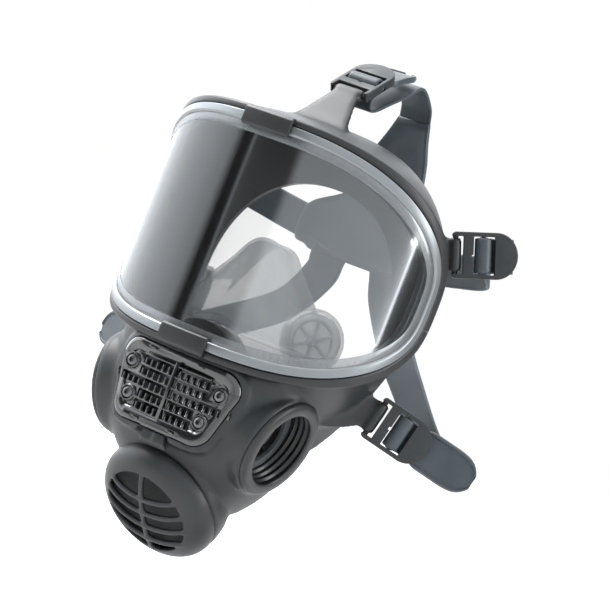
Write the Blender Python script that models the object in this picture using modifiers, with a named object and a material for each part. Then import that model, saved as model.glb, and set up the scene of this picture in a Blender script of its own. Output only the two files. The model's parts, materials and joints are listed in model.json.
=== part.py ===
"""Full face respirator: rubber facepiece, wide visor, speech cover, two threaded ports,
exhalation valve, inner nose and mouth mask, and a five-point rubber head harness.

Frame: origin at the centre of the face opening; +X is the wearer's left, +Y points back
towards the head, +Z is up. Sizes are written in millimetres and built in metres.
"""

import math

import bmesh
import bpy
from mathutils import Matrix, Vector

for old in list(bpy.data.objects):
    bpy.data.objects.remove(old, do_unlink=True)

MM = 0.001
GAP = 0.3  # between pieces that touch

# visor: a sheet bent about an upright axis, seen from the front as a superellipse
FRONT_Y = -80.0  # front centre of the visor
BEND_HALF_WIDTH = 88.0
BEND_DEPTH = 85.0
BEND_POWER = 2.2
VISOR_HALF_WIDTH = 86.0
VISOR_HALF_HEIGHT = 57.5
VISOR_POWER = 3.3
VISOR_Z = 0.7
RIM_HALF = 2.4  # half the width of the raised rim
RIM_PROUD = 2.6
SHEET_HALF = 1.2  # half the sheet's thickness
QUARTER = 12  # outline points in a quarter

# visor frame
FRAME_IN = RIM_HALF + GAP
FRAME_OUT_TOP = 6.5
FRAME_OUT_SIDE = 9.0
FRAME_FRONT = 2.2
FRAME_BACK = -6.0
SEAM_Z = -10.0
CLIP_HALF = 14.0

# facepiece
WALL = 3.0
REAR_Y = 5.0
REAR_HALF_WIDTH = 77.0
REAR_Z = 10.0
REAR_UP = 64.0
REAR_DOWN = 128.0
OPENING_HALF_WIDTH = 58.0
OPENING_Z = -22.0
OPENING_UP = 65.0
OPENING_DOWN = 74.0

# muzzle: level sections (z, half width, front y, back y)
MUZZLE = (
    (-61.5, 57.0, -74.8, 4.0),
    (-84.0, 55.0, -74.8, 4.0),
    (-102.0, 51.0, -74.4, 4.0),
    (-112.0, 46.0, -70.0, 2.5),
    (-124.0, 38.0, -60.0, -1.5),
    (-134.0, 29.0, -46.0, -8.0),
)
MUZZLE_POWER = 2.6

# filter ports, one on each side
PORT_X = 53.0
PORT_Y = -41.5
PORT_Z = -92.5
PORT_DROOP = math.radians(13.0)
PORT_FLANGE_R = 27.0
PORT_BARREL_R = 23.0
THREAD_R = 20.3
THREAD_PITCH = 3.63
THREAD_DEPTH = 1.2
PORT_DEPTH = 15.0

# speech cover and what is behind it
COVER_Z_TOP = -64.6
COVER_Z_BOTTOM = -106.0
COVER_HALF_TOP = 40.0
COVER_HALF_BOTTOM = 28.5
COVER_THICK = 3.0
COVER_SCREWS = ((28.0, -77.5), (23.0, -93.5))
HOUSING_Z = -72.0
HOUSING_R = 27.0
HOUSING_BORE = 23.6
HOUSING_FRONT = -69.0
HOUSING_BACK = -51.2

# exhalation valve
EXHALE_Y = -45.5
EXHALE_Z = -138.5
EXHALE_TILT = math.radians(45.0)
CAP_R = 34.0
CAP_HEIGHT = 17.0
CAP_WALL = 2.2
NECK_R = 30.5
SEAT_R = 26.7
WINDOW_R = 24.5
WINDOW_SHIFT = 1.0
CAP_BARS = (-15.0, -6.0, 3.0, 12.0)
DISC_R = 25.0
DISC_LIFT = 2.5

# inner mask and its valves
INNER_VALVE = (37.0, -25.0, -36.0)
INNER_VALVE_TURN = math.radians(50.0)
INNER_SEAT_R = 14.8
FLAP_LIFT = 2.0

# buckles
BUCKLE_HALF = 12.0
BUCKLE_END = 32.0
BUCKLE_LOW = -1.8
BUCKLE_HIGH = 3.2
WINDOW_HALF = 9.8
BAR_R = 1.5
SLEEVE_R = 3.4
ROLLER_U = 14.3
ROLLER_R = 2.2
STRAP_HALF = 9.0
STRAP_THICK = 1.8


# ---------------------------------------------------------------- helpers

collection = bpy.data.collections.new("full_face_respirator")
bpy.context.scene.collection.children.link(collection)
cutters = bpy.data.collections.new("cutters")
bpy.context.scene.collection.children.link(cutters)


def material(name, colour, roughness, metallic=0.0, alpha=1.0, transmission=0.0):
    m = bpy.data.materials.new(name)
    m.use_nodes = True
    s = m.node_tree.nodes["Principled BSDF"]
    s.inputs["Base Color"].default_value = (*colour, 1.0)
    s.inputs["Roughness"].default_value = roughness
    s.inputs["Metallic"].default_value = metallic
    s.inputs["Alpha"].default_value = alpha
    s.inputs["Transmission Weight"].default_value = transmission
    m.diffuse_color = (*colour, alpha)
    return m


RUBBER = ((0.055, 0.060, 0.062), 0.55)
HARD_BLACK = ((0.030, 0.032, 0.034), 0.35)
GLOSS_BLACK = ((0.015, 0.016, 0.017), 0.15)
STRAP_GREY = ((0.075, 0.085, 0.092), 0.50)
STEEL = ((0.45, 0.46, 0.47), 0.30)
MILKY = ((0.85, 0.87, 0.88), 0.35)
CLEAR = ((0.92, 0.95, 0.96), 0.05)
GREY_RUBBER = ((0.12, 0.13, 0.14), 0.60)


def mesh_object(name, verts, faces, look=None, cutter=False, split=False):
    """A closed mesh from points in millimetres, its faces turned outwards; split makes triangles."""
    mesh = bpy.data.meshes.new(name)
    mesh.from_pydata([Vector(v) * MM for v in verts], [], faces)
    bm = bmesh.new()
    bm.from_mesh(mesh)
    bmesh.ops.remove_doubles(bm, verts=bm.verts, dist=0.000001)
    if split:
        bmesh.ops.triangulate(bm, faces=bm.faces)
    bmesh.ops.recalc_face_normals(bm, faces=bm.faces)
    bm.to_mesh(mesh)
    bm.free()
    ob = bpy.data.objects.new(name, mesh)
    if cutter:
        cutters.objects.link(ob)
        ob.hide_render = True
        ob.display_type = "WIRE"
        return ob
    collection.objects.link(ob)
    colour, roughness, *more = look
    mesh.materials.append(material(name, colour, roughness, *more))
    return ob


def boolean(ob, other, operation="DIFFERENCE"):
    m = ob.modifiers.new(operation.lower(), "BOOLEAN")
    m.operation = operation
    m.solver = "EXACT"
    m.object = other
    m.use_self = operation != "INTERSECT" and "several" in other
    return ob


def together(name, pieces):
    """Several cutters as one, so that a single Boolean joins or cuts them all."""
    bm = bmesh.new()
    for piece in pieces:
        start = len(bm.verts)
        bm.from_mesh(piece.data)
        bm.verts.ensure_lookup_table()
        bmesh.ops.transform(bm, matrix=piece.matrix_basis, verts=bm.verts[start:])
        bpy.data.objects.remove(piece, do_unlink=True)
    mesh = bpy.data.meshes.new(name)
    bm.to_mesh(mesh)
    bm.free()
    ob = bpy.data.objects.new(name, mesh)
    cutters.objects.link(ob)
    ob.hide_render = True
    ob.display_type = "WIRE"
    ob["several"] = True
    return ob


def rings_solid(name, rings, caps, **more):
    """A loft through closed rings of equal length. caps names each end's cap: "fan", "ladder" or
    "flat". With no caps the last ring joins the first."""
    n = len(rings[0])
    verts = [v for ring in rings for v in ring]
    faces = []
    last = len(rings) - 1
    for k in range(last if caps else last + 1):
        a = k * n
        b = ((k + 1) % len(rings)) * n
        for i in range(n):
            j = (i + 1) % n
            faces.append((a + i, a + j, b + j, b + i))
    for base, cap in zip((0, last * n), caps or ()):
        if cap == "ladder":
            for i in range(n // 2):
                low, high = (n - i) % n, i
                faces.append((base + high, base + high + 1, base + n - i - 1, base + low))
        elif cap == "flat":
            faces.append(tuple(range(base, base + n)))
        else:
            middle = sum((Vector(verts[base + i]) for i in range(n)), Vector()) / n
            verts.append(middle)
            centre = len(verts) - 1
            for i in range(n):
                faces.append((base + i, base + (i + 1) % n, centre))
    faces = [tuple(dict.fromkeys(f)) for f in faces]
    return mesh_object(name, verts, faces, split=True, **more)


def resampled(curve, count):
    """count + 1 points at equal steps along a curve given as a function of 0 to 1."""
    fine = [Vector(curve(i / 400)) for i in range(401)]
    run = [0.0]
    for a, b in zip(fine, fine[1:]):
        run.append(run[-1] + (b - a).length)
    out = []
    k = 0
    for i in range(count + 1):
        want = run[-1] * i / count
        while k < 399 and run[k + 1] < want:
            k += 1
        span = run[k + 1] - run[k]
        out.append(fine[k].lerp(fine[k + 1], (want - run[k]) / span if span else 0.0))
    return out


def four_quarters(up, down, count):
    """A ring that is its own mirror image: right side, top, left side, bottom."""
    top = resampled(up, count)
    low = resampled(down, count)
    flip = Vector((-1.0, 1.0, 1.0))
    left_top = [v * flip for v in reversed(top)]
    left_low = [v * flip for v in low]
    right_low = list(reversed(low))
    return top[:-1] + left_top[:-1] + left_low[:-1] + right_low[:-1]


def super_xz(t, half_x, half_z, power):
    angle = t * math.pi / 2
    x = half_x * max(math.cos(angle), 0.0) ** (2 / power)
    z = half_z * math.sin(angle) ** (2 / power)
    return x, z


def bend_y(x):
    share = min(abs(x) / BEND_HALF_WIDTH, 0.9999) ** BEND_POWER
    return FRONT_Y + BEND_DEPTH * (1.0 - (1.0 - share) ** (1.0 / BEND_POWER))


def bend_normal(x):
    """The visor surface's outward direction."""
    step = 0.01
    slope = (bend_y(x + step) - bend_y(x - step)) / (2 * step)
    return Vector((slope, -1.0, 0.0)).normalized()


def visor_quarter(sign):
    def curve(t):
        x, z = super_xz(t, VISOR_HALF_WIDTH, VISOR_HALF_HEIGHT, VISOR_POWER)
        return x, bend_y(x), VISOR_Z + sign * z

    return curve


OUTLINE = four_quarters(visor_quarter(1), visor_quarter(-1), QUARTER)
COUNT = len(OUTLINE)
NORMALS = [bend_normal(p.x) for p in OUTLINE]
OUTWARD = []
for i in range(COUNT):
    along = OUTLINE[(i + 1) % COUNT] - OUTLINE[i - 1]
    OUTWARD.append(NORMALS[i].cross(along).normalized() * -1.0)
if OUTWARD[COUNT // 4].z < 0:
    OUTWARD = [-v for v in OUTWARD]


def frame_out(i):
    share = min(abs(OUTLINE[i].x) / VISOR_HALF_WIDTH, 1.0)
    return FRAME_OUT_TOP + (FRAME_OUT_SIDE - FRAME_OUT_TOP) * share**3


def visor_ring(out, proud):
    """The outline moved by out in the sheet and by proud along its normal."""
    ring = []
    for i in range(COUNT):
        o = out(i) if callable(out) else out
        ring.append(OUTLINE[i] + OUTWARD[i] * o + NORMALS[i] * proud)
    return ring


def turned(name, profile, place, steps=32, **more):
    """A shape turned about local Z; profile holds (radius, height), down the outer side."""
    closed = profile[0][0] > 0.001 or profile[-1][0] > 0.001
    verts = [(r, 0.0, h) for r, h in profile]
    edges = [(i, i + 1) for i in range(len(profile) - 1)]
    if closed:
        edges.append((len(profile) - 1, 0))
    mesh = bpy.data.meshes.new(name)
    mesh.from_pydata([Vector(v) * MM for v in verts], edges, [])
    ob = bpy.data.objects.new(name, mesh)
    if more.get("cutter"):
        cutters.objects.link(ob)
        ob.hide_render = True
        ob.display_type = "WIRE"
    else:
        collection.objects.link(ob)
        colour, roughness, *rest = more["look"]
        mesh.materials.append(material(name, colour, roughness, *rest))
    m = ob.modifiers.new("turn", "SCREW")
    m.steps = steps
    m.render_steps = steps
    m.use_merge_vertices = True
    m.merge_threshold = 0.00001
    ob.matrix_world = place
    return ob


def axis_place(centre, direction, side=None):
    """A placing whose local Z runs along direction."""
    z = Vector(direction).normalized()
    x = Vector(side) if side else Vector((0.0, 0.0, 1.0))
    if abs(x.normalized().dot(z)) > 0.99:
        x = Vector((1.0, 0.0, 0.0))
    y = z.cross(x).normalized()
    x = y.cross(z)
    m = Matrix((x, y, z)).transposed().to_4x4()
    m.translation = Vector(centre) * MM
    return m


def cylinder(name, radius, low, high, place, steps=32, **more):
    verts = []
    for h in (low, high):
        for i in range(steps):
            a = 2 * math.pi * i / steps
            verts.append((radius * math.cos(a), radius * math.sin(a), h))
    faces = [tuple(range(steps)), tuple(range(steps, 2 * steps))]
    for i in range(steps):
        j = (i + 1) % steps
        faces.append((i, j, steps + j, steps + i))
    ob = mesh_object(name, verts, faces, **more)
    ob.matrix_world = place
    return ob


def box(name, low, high, place=None, **more):
    (a, b, c), (d, e, f) = low, high
    verts = [(x, y, z) for x in (a, d) for y in (b, e) for z in (c, f)]
    faces = [(0, 1, 3, 2), (4, 6, 7, 5), (0, 4, 5, 1), (2, 3, 7, 6), (0, 2, 6, 4), (1, 5, 7, 3)]
    ob = mesh_object(name, verts, faces, **more)
    if place is not None:
        ob.matrix_world = place
    return ob


def prism(name, outline, low, high, place=None, **more):
    """An outline in local x and y, extruded along local z."""
    n = len(outline)
    verts = [(x, y, low) for x, y in outline] + [(x, y, high) for x, y in outline]
    faces = [tuple(range(n)), tuple(range(n, 2 * n))]
    for i in range(n):
        j = (i + 1) % n
        faces.append((i, j, n + j, n + i))
    ob = mesh_object(name, verts, faces, **more)
    if place is not None:
        ob.matrix_world = place
    return ob


def sheet_solid(name, verts, faces, thick, **more):
    """A surface given thickness evenly to both sides."""
    bm = bmesh.new()
    made = [bm.verts.new(v) for v in verts]
    for f in faces:
        bm.faces.new([made[i] for i in f])
    bm.normal_update()
    bm.verts.index_update()
    top = []
    low = []
    for v in bm.verts:
        spread = min(max(f.normal.dot(v.normal) for f in v.link_faces), 1.0)
        step = v.normal * (thick / 2 / max(spread, 0.6))
        top.append(v.co + step)
        low.append(v.co - step)
    n = len(verts)
    solid = list(faces) + [tuple(i + n for i in reversed(f)) for f in faces]
    for e in bm.edges:
        if e.is_boundary:
            a, b = e.verts[0].index, e.verts[1].index
            solid.append((a, b, b + n, a + n))
    bm.free()
    return mesh_object(name, top + low, solid, **more)


def mirrored(point, side):
    return Vector((point[0] * side, point[1], point[2]))


SIDES = (("left", 1), ("right", -1))


# ---------------------------------------------------------------- visor and its frame

rim_in = -RIM_HALF
visor = rings_solid(
    "visor_lens",
    [
        visor_ring(rim_in, SHEET_HALF),
        visor_ring(rim_in, RIM_PROUD),
        visor_ring(RIM_HALF, RIM_PROUD),
        visor_ring(RIM_HALF, -SHEET_HALF),
        visor_ring(rim_in, -SHEET_HALF),
    ],
    ("ladder", "ladder"),
    look=(*CLEAR, 0.0, 0.35, 0.9),
)


def frame_band(name, inner, outer_extra, front, back, step_out, cutter=False, look=None):
    """The L section that holds the visor: an outer wall and a ledge behind the visor's edge."""
    ledge = -SHEET_HALF - 0.4
    rings = [
        visor_ring(inner, front),
        visor_ring(lambda i: frame_out(i) + outer_extra, front - step_out),
        visor_ring(lambda i: frame_out(i) + outer_extra, back),
        visor_ring(-1.0, back),
        visor_ring(-1.0, ledge),
        visor_ring(inner, ledge),
    ]
    return rings_solid(name, rings, None, cutter=cutter, look=look)


def clip(name, top, look=None, cutter=True):
    """The block at the middle of the frame that laps over the visor's rim."""
    sign = 1 if top else -1
    rings = []
    for k in range(9):
        x = -CLIP_HALF + 2 * CLIP_HALF * k / 8
        n = bend_normal(x)
        up = Vector((0.0, 0.0, sign))
        share = (abs(x) / VISOR_HALF_WIDTH) ** VISOR_POWER
        z = VISOR_HALF_HEIGHT * (1 - share) ** (1 / VISOR_POWER)
        base = Vector((x, bend_y(x), VISOR_Z + sign * z))
        low = RIM_PROUD + GAP
        lap = ((-4.2, low), (-4.0, 4.6), (-3.0, 5.2))
        back = ((4.5, 5.2), (6.2, 3.6), (6.2, 0.5), (3.4, 0.5), (3.4, low))
        rings.append([base + up * o + n * h for o, h in lap + back])
    return rings_solid(name, rings, ("flat", "flat"), cutter=cutter, look=look)


FRAME_LOOK = HARD_BLACK
for part_name, keep_up in (("visor_frame_upper", True), ("visor_frame_lower", False)):
    band = frame_band(part_name, FRAME_IN, 0.0, FRAME_FRONT, FRAME_BACK, 0.6, look=FRAME_LOOK)
    boolean(band, clip(part_name + "_clip", keep_up), "UNION")
    edge = SEAM_Z + (-GAP / 2 if keep_up is False else GAP / 2)
    low, high = (-120.0, edge) if keep_up else (edge, 120.0)
    off = box(part_name + "_off", (-130, -130, low), (130, 60, high), cutter=True)
    boolean(band, off)
    if keep_up:
        upper_frame = band
    else:
        lower_frame = band

# clamp screw and nut where the two halves meet, one pair on each side
seam_at = min(range(COUNT // 4 * 3, COUNT), key=lambda i: abs(OUTLINE[i].z - SEAM_Z))
SCREW_AT = OUTLINE[seam_at] + OUTWARD[seam_at] * 5.4 + NORMALS[seam_at] * -2.0
SCREW_OUT = Vector((OUTWARD[seam_at].x, OUTWARD[seam_at].y, 0.0)).normalized()
for side_name, side in SIDES:
    at = mirrored(SCREW_AT, side)
    upright = axis_place((at.x, at.y, 0.0), (0, 0, 1), mirrored(SCREW_OUT, side))
    hole = cylinder("frame_hole_" + side_name, 1.5, -22, 2, upright, 12, cutter=True)
    boolean(upper_frame, hole)
    boolean(lower_frame, hole)
    pocket = box("nut_pocket_" + side_name, (-2.8, -2.8, -4.0), (9.0, 2.8, 1.6), upright, cutter=True)
    boolean(upper_frame, pocket)
    pocket = box("head_pocket_" + side_name, (-2.8, -2.8, -22.0), (9.0, 2.8, -16.4), upright, cutter=True)
    boolean(lower_frame, pocket)
    shank = [(0.0, 1.0), (1.1, 1.0), (1.1, -16.7)]
    head = [(2.4, -16.7), (2.4, -19.2), (1.2, -19.2), (1.2, -18.0), (0.0, -18.0)]
    turned(
        "frame_screw_" + side_name,
        shank + head,
        upright,
        12,
        look=(*STEEL, 1.0),
    )
    sixths = [k * math.pi / 3 for k in range(6)]
    hexagon = [(2.4 * math.cos(a), 2.4 * math.sin(a)) for a in sixths]
    nut = prism("frame_nut_" + side_name, hexagon, -3.7, -1.2, upright, look=(*STEEL, 1.0))
    boolean(nut, cylinder("nut_hole_" + side_name, 1.4, -6, 2, upright, 12, cutter=True))


# ---------------------------------------------------------------- facepiece

def rear_quarter(sign, inset, y):
    def curve(t):
        half = REAR_HALF_WIDTH - inset
        if sign > 0:
            x, z = super_xz(t, half, REAR_UP - inset, 2.1)
        else:
            x, z = super_xz(t, half, REAR_DOWN - inset, 1.8)
        return x, y, REAR_Z + sign * z

    return curve


def skirt_rings(inset, front, back):
    """Rings from behind the visor frame to the edge that meets the face."""
    first = visor_ring(lambda i: frame_out(i) - 0.4 - inset, FRAME_BACK - 1.3 * GAP)
    last = four_quarters(rear_quarter(1, inset, back), rear_quarter(-1, inset, back), QUARTER)
    rings = []
    for t in (0.0, 0.2, 0.45, 0.7, 0.9, 1.0):
        ring = []
        for a, b in zip(first, last):
            p = a.lerp(b, t)
            away = Vector((p.x, 0.0, p.z)).normalized()
            ring.append(p + away * 9.0 * t * (1.0 - t))
        rings.append(ring)
    if front:
        rings.insert(0, [p + Vector((0.0, front, 0.0)) for p in first])
    return rings


def muzzle_rings(inset, top, bottom):
    rings = []
    for z, half, front, back in MUZZLE:
        z = top if z == MUZZLE[0][0] else bottom if z == MUZZLE[-1][0] else z
        half, front, back = half - inset, front + inset, back - inset
        middle, depth = (front + back) / 2, (back - front) / 2
        ring = []
        for i in range(36):
            a = 2 * math.pi * i / 36
            c, s = math.cos(a), math.sin(a)
            x = half * math.copysign(abs(c) ** (2 / MUZZLE_POWER), c)
            y = depth * math.copysign(abs(s) ** (2 / MUZZLE_POWER), s)
            ring.append((x, middle + y, z))
        rings.append(ring)
    return rings


def muzzle_front(x):
    """Front of the muzzle behind the speech cover."""
    _, half, front, back = MUZZLE[1]
    share = (abs(x) / half) ** MUZZLE_POWER
    return (front + back) / 2 - (back - front) / 2 * (1 - share) ** (1 / MUZZLE_POWER)


facepiece = rings_solid("facepiece", skirt_rings(0.0, 0.0, REAR_Y), ("ladder", "fan"), look=RUBBER)
muzzle = muzzle_rings(0.0, -61.5, -134.0)
outside = [rings_solid("muzzle", muzzle, ("fan", "fan"), cutter=True)]

PORT_AXIS = Vector((math.cos(PORT_DROOP), 0.0, -math.sin(PORT_DROOP)))
PORT_FACE = Vector((PORT_X, PORT_Y, PORT_Z))
ports = {name: axis_place(mirrored(PORT_FACE, s), mirrored(PORT_AXIS, s)) for name, s in SIDES}
EXHALE_AXIS = Vector((0.0, -math.cos(EXHALE_TILT), -math.sin(EXHALE_TILT)))
exhale = axis_place((0.0, EXHALE_Y, EXHALE_Z), EXHALE_AXIS, (1.0, 0.0, 0.0))
for side_name, _ in SIDES:
    place = ports[side_name]
    outside.append(cylinder("port_boss_" + side_name, 28.4, -30, -2.2, place, 28, cutter=True))
neck_rings = []
for radius, height in ((21.0, -27.0), (29.0, -20.5), (33.0, -12.0), (CAP_R, -5.0), (CAP_R, -GAP)):
    turns = [2 * math.pi * (i + 0.5) / 32 for i in range(32)]
    neck_rings.append([Vector((radius * math.cos(a), radius * math.sin(a), height)) for a in turns])
neck = rings_solid("neck", neck_rings, ("flat", "flat"), cutter=True)
neck.matrix_world = exhale
outside.append(neck)
outside.append(cylinder("neck_spigot", NECK_R, -10, 4.0, exhale, 32, cutter=True))

# strap tabs: (pivot, along, across) with the tab's base points behind the pivot
LONG_TOP = Vector((0.0, 0.80, 0.60))
LONG_TEMPLE = Vector((0.82, 0.47, 0.33)).normalized()
LONG_LOWER = Vector((0.84, 0.49, -0.22)).normalized()
FACE_CAMERA = Vector((0.5, -0.866, 0.0))


def buckle_place(pivot, along, facing):
    """Local x runs from the pivot bar to the thumb end, local z is the buckle's outer side."""
    x = along.normalized()
    z = (facing - x * facing.dot(x)).normalized()
    y = z.cross(x)
    m = Matrix((x, y, z)).transposed().to_4x4()
    m.translation = Vector(pivot) * MM
    return m


TOP_PIVOT = Vector((0.0, -19.0, 92.0))
TEMPLE_PIVOT = Vector((83.0, -1.0, 32.0))
LOWER_PIVOT = Vector((74.0, 0.0, -60.5))
BUCKLES = {"top": buckle_place(TOP_PIVOT, LONG_TOP, Vector((0.0, -0.6, 0.8)))}
for side_name, side in SIDES:
    BUCKLES["temple_" + side_name] = buckle_place(
        mirrored(TEMPLE_PIVOT, side), mirrored(LONG_TEMPLE, side), mirrored(FACE_CAMERA, side)
    )
    BUCKLES["lower_" + side_name] = buckle_place(
        mirrored(LOWER_PIVOT, side), mirrored(LONG_LOWER, side), mirrored(FACE_CAMERA, side)
    )

# where each tab leaves the facepiece: centre, half width and half thickness there
TAB_BASES = {
    "top": (((0, -48, 62), 24, 2.5), ((0, -36, 70), 17, 2.0)),
    "temple": (((68, -8, 29), 12, 2.5), ((76, -4, 31), 10.5, 1.8)),
    "lower": (((50, -18, -62), 15, 3.0), ((62, -7, -61), 12, 2.0)),
}


def tab(name, place, bases):
    rows = []
    across = place.to_3x3() @ Vector((0.0, 1.0, 0.0))
    pivot = place.translation / MM
    near = pivot - (place.to_3x3() @ Vector((1.0, 0.0, 0.0))) * 4.5
    stations = [*bases, (near, 8.7, 1.5), (pivot, 8.7, 1.5)]
    for k, (centre, half, thick) in enumerate(stations):
        here = Vector(centre)
        before = Vector(stations[max(k - 1, 0)][0])
        after = Vector(stations[min(k + 1, len(stations) - 1)][0])
        normal = across.cross(after - before).normalized()
        corners = ((-1, -1), (1, -1), (1, 1), (-1, 1))
        rows.append([here + across * a * half + normal * b * thick for a, b in corners])
    return rings_solid(name, rows, ("flat", "flat"), cutter=True)


def side_bases(kind, side):
    return [(mirrored(c, side), w, t) for c, w, t in TAB_BASES[kind]]


TAB_LIST = [("top", "top", 1)]
for side_name, side in SIDES:
    TAB_LIST += [("temple_" + side_name, "temple", side), ("lower_" + side_name, "lower", side)]
for name, kind, side in TAB_LIST:
    place = BUCKLES[name]
    outside.append(tab("tab_" + name, place, side_bases(kind, side)))
    along_bar = place @ Matrix.Rotation(math.pi / 2, 4, "X")
    outside.append(cylinder("sleeve_" + name, SLEEVE_R, -9, 9, along_bar, 16, cutter=True))
boolean(facepiece, together("facepiece_outside", outside), "UNION")

skirt_inside = skirt_rings(WALL, -14.0, REAR_Y - WALL)
inside = [rings_solid("skirt_inside", skirt_inside, ("ladder", "fan"), cutter=True)]
muzzle_inside = muzzle_rings(WALL, -56.0, -131.0)
inside.append(rings_solid("muzzle_inside", muzzle_inside, ("fan", "fan"), cutter=True))


def opening_quarter(sign, half, up, down):
    def curve(t):
        x, z = super_xz(t, half, up if sign > 0 else down, 2.2)
        return x, 0.0, OPENING_Z + sign * z

    return curve


face_hole = four_quarters(
    opening_quarter(1, OPENING_HALF_WIDTH, OPENING_UP, OPENING_DOWN),
    opening_quarter(-1, OPENING_HALF_WIDTH, OPENING_UP, OPENING_DOWN),
    8,
)
hole_rings = [[v + Vector((0.0, y, 0.0)) for v in face_hole] for y in (-6.0, 12.0)]
inside.append(rings_solid("face_opening", hole_rings, ("fan", "fan"), cutter=True))
inside.append(frame_band("frame_room", -1.5, GAP, 9.0, FRAME_BACK - GAP, 0.0, cutter=True))
for name, kind, side in TAB_LIST:
    along_bar = BUCKLES[name] @ Matrix.Rotation(math.pi / 2, 4, "X")
    inside.append(cylinder("bar_hole_" + name, BAR_R + GAP, -14, 14, along_bar, 12, cutter=True))
for side_name, _ in SIDES:
    place = ports[side_name]
    hole_r, room_r = PORT_BARREL_R + 0.4, PORT_FLANGE_R + 0.5
    inside.append(cylinder("port_hole_" + side_name, hole_r, -34, 6, place, 28, cutter=True))
    inside.append(cylinder("port_room_" + side_name, room_r, -2.8, 14, place, 28, cutter=True))
inside.append(cylinder("neck_hole", SEAT_R + GAP, -8.5, 9, exhale, 32, cutter=True))
speech_way = axis_place((0.0, -60.0, -83.0), (0.0, -1.0, 0.0))
inside.append(cylinder("speech_hole", 17.5, -12, 30, speech_way, 24, cutter=True))


# ---------------------------------------------------------------- speech cover

def cover_outline(grow):
    """A trapezium with round corners, wider at the top, in x and z."""
    points = []
    radius = 9.0
    corners = (
        (COVER_HALF_TOP, COVER_Z_TOP),
        (-COVER_HALF_TOP, COVER_Z_TOP),
        (-COVER_HALF_BOTTOM, COVER_Z_BOTTOM),
        (COVER_HALF_BOTTOM, COVER_Z_BOTTOM),
    )
    for k in range(4):
        here = Vector(corners[k])
        before = (Vector(corners[k - 1]) - here).normalized()
        after = (Vector(corners[(k + 1) % 4]) - here).normalized()
        half = before.angle(after) / 2
        centre = here + (before + after).normalized() * radius / math.sin(half)
        start = (here + before * radius / math.tan(half)) - centre
        end = (here + after * radius / math.tan(half)) - centre
        sweep = start.angle_signed(end)
        for s in range(5):
            turn = Matrix.Rotation(-sweep * s / 4, 2)
            p = turn @ start
            p = p.normalized() * (radius + grow)
            points.append((centre.x + p.x, centre.y + p.y))
    return points


def curved_slab(name, front, back, **more):
    """A slab that follows the muzzle's front."""
    ring_front = []
    ring_back = []
    for k in range(13):
        x = -44.0 + 88.0 * k / 12
        ring_front.append((x, muzzle_front(x) + front))
        ring_back.append((x, muzzle_front(x) + back))
    outline = ring_front + list(reversed(ring_back))
    return prism(name, outline, -112.0, -58.0, cutter=True)


flat = Matrix.Rotation(math.pi / 2, 4, "X")
cover = prism("speech_cover", cover_outline(0.0), 50.0, 90.0, flat, look=GLOSS_BLACK)
boolean(cover, curved_slab("cover_slab", -0.9 - COVER_THICK, -0.9), "INTERSECT")
for row in range(5):
    z = -74.4 - 5.6 * row
    reach = (21.5, 23.0, 31.0, 23.0, 18.5)[row]
    inner = 1.4
    for side_name, side in SIDES:
        low, high = sorted((inner * side, reach * side))
        corners = (low, -84, z - 1.6), (high, -60, z + 1.6)
        boolean(cover, box(f"speech_slot_{row}_{side_name}", *corners, cutter=True))
number = 0
for x, z in COVER_SCREWS:
    for side in (1, -1):
        number += 1
        place = axis_place((x * side, muzzle_front(x) - 0.9 - COVER_THICK, z), (0.0, -1.0, 0.0))
        boolean(cover, cylinder(f"cover_bore_{number}", 1.8, -8, 3, place, 12, cutter=True))
        boolean(cover, cylinder(f"cover_sink_{number}", 3.4, -1.6, 4, place, 16, cutter=True))
        inside.append(cylinder(f"wall_bore_{number}", 1.7, -14, 3, place, 12, cutter=True))
        head = [(0.0, -0.4), (1.2, -0.4), (1.2, 0.8), (3.0, 0.8), (3.0, -1.3)]
        turned(
            f"cover_screw_{number}",
            head + [(1.4, -1.3), (1.4, -6.2), (0.0, -6.2)],
            place,
            12,
            look=(*STEEL, 1.0),
        )

boolean(facepiece, together("facepiece_inside", inside))

housing_place = axis_place((0.0, 0.0, HOUSING_Z), (0.0, -1.0, 0.0))
f, b = -HOUSING_FRONT, -HOUSING_BACK
housing_outer = [(19.0, f), (25.5, f), (HOUSING_R, f - 1.5), (HOUSING_R, b)]
housing_inner = [(HOUSING_BORE, b), (HOUSING_BORE, f - 2.0), (19.0, f - 2.0)]
turned(
    "front_housing",
    housing_outer + housing_inner,
    housing_place,
    28,
    look=HARD_BLACK,
)
turned(
    "speech_gasket",
    [(20.0, f - 2.3), (23.2, f - 2.3), (23.2, f - 3.8), (20.0, f - 3.8)],
    housing_place,
    28,
    look=GREY_RUBBER,
)
turned(
    "speech_diaphragm",
    [(0.0, f - 4.1), (22.9, f - 4.1), (22.9, f - 4.6), (0.0, f - 4.6)],
    housing_place,
    28,
    look=(*STEEL, 0.6),
)
turned(
    "diaphragm_ring",
    [(19.5, f - 4.9), (23.2, f - 4.9), (23.2, f - 7.9), (19.5, f - 7.9)],
    housing_place,
    28,
    look=HARD_BLACK,
)


# ---------------------------------------------------------------- exhalation valve

def dome(t, shrink):
    """The cap's section: t runs from the rim, 0, to the crown, 1."""
    angle = t * math.pi / 2
    r = (CAP_R - shrink) * max(math.cos(angle), 0.0) ** 0.72
    h = (CAP_HEIGHT - shrink) * math.sin(angle) ** 0.9
    return r, h


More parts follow.
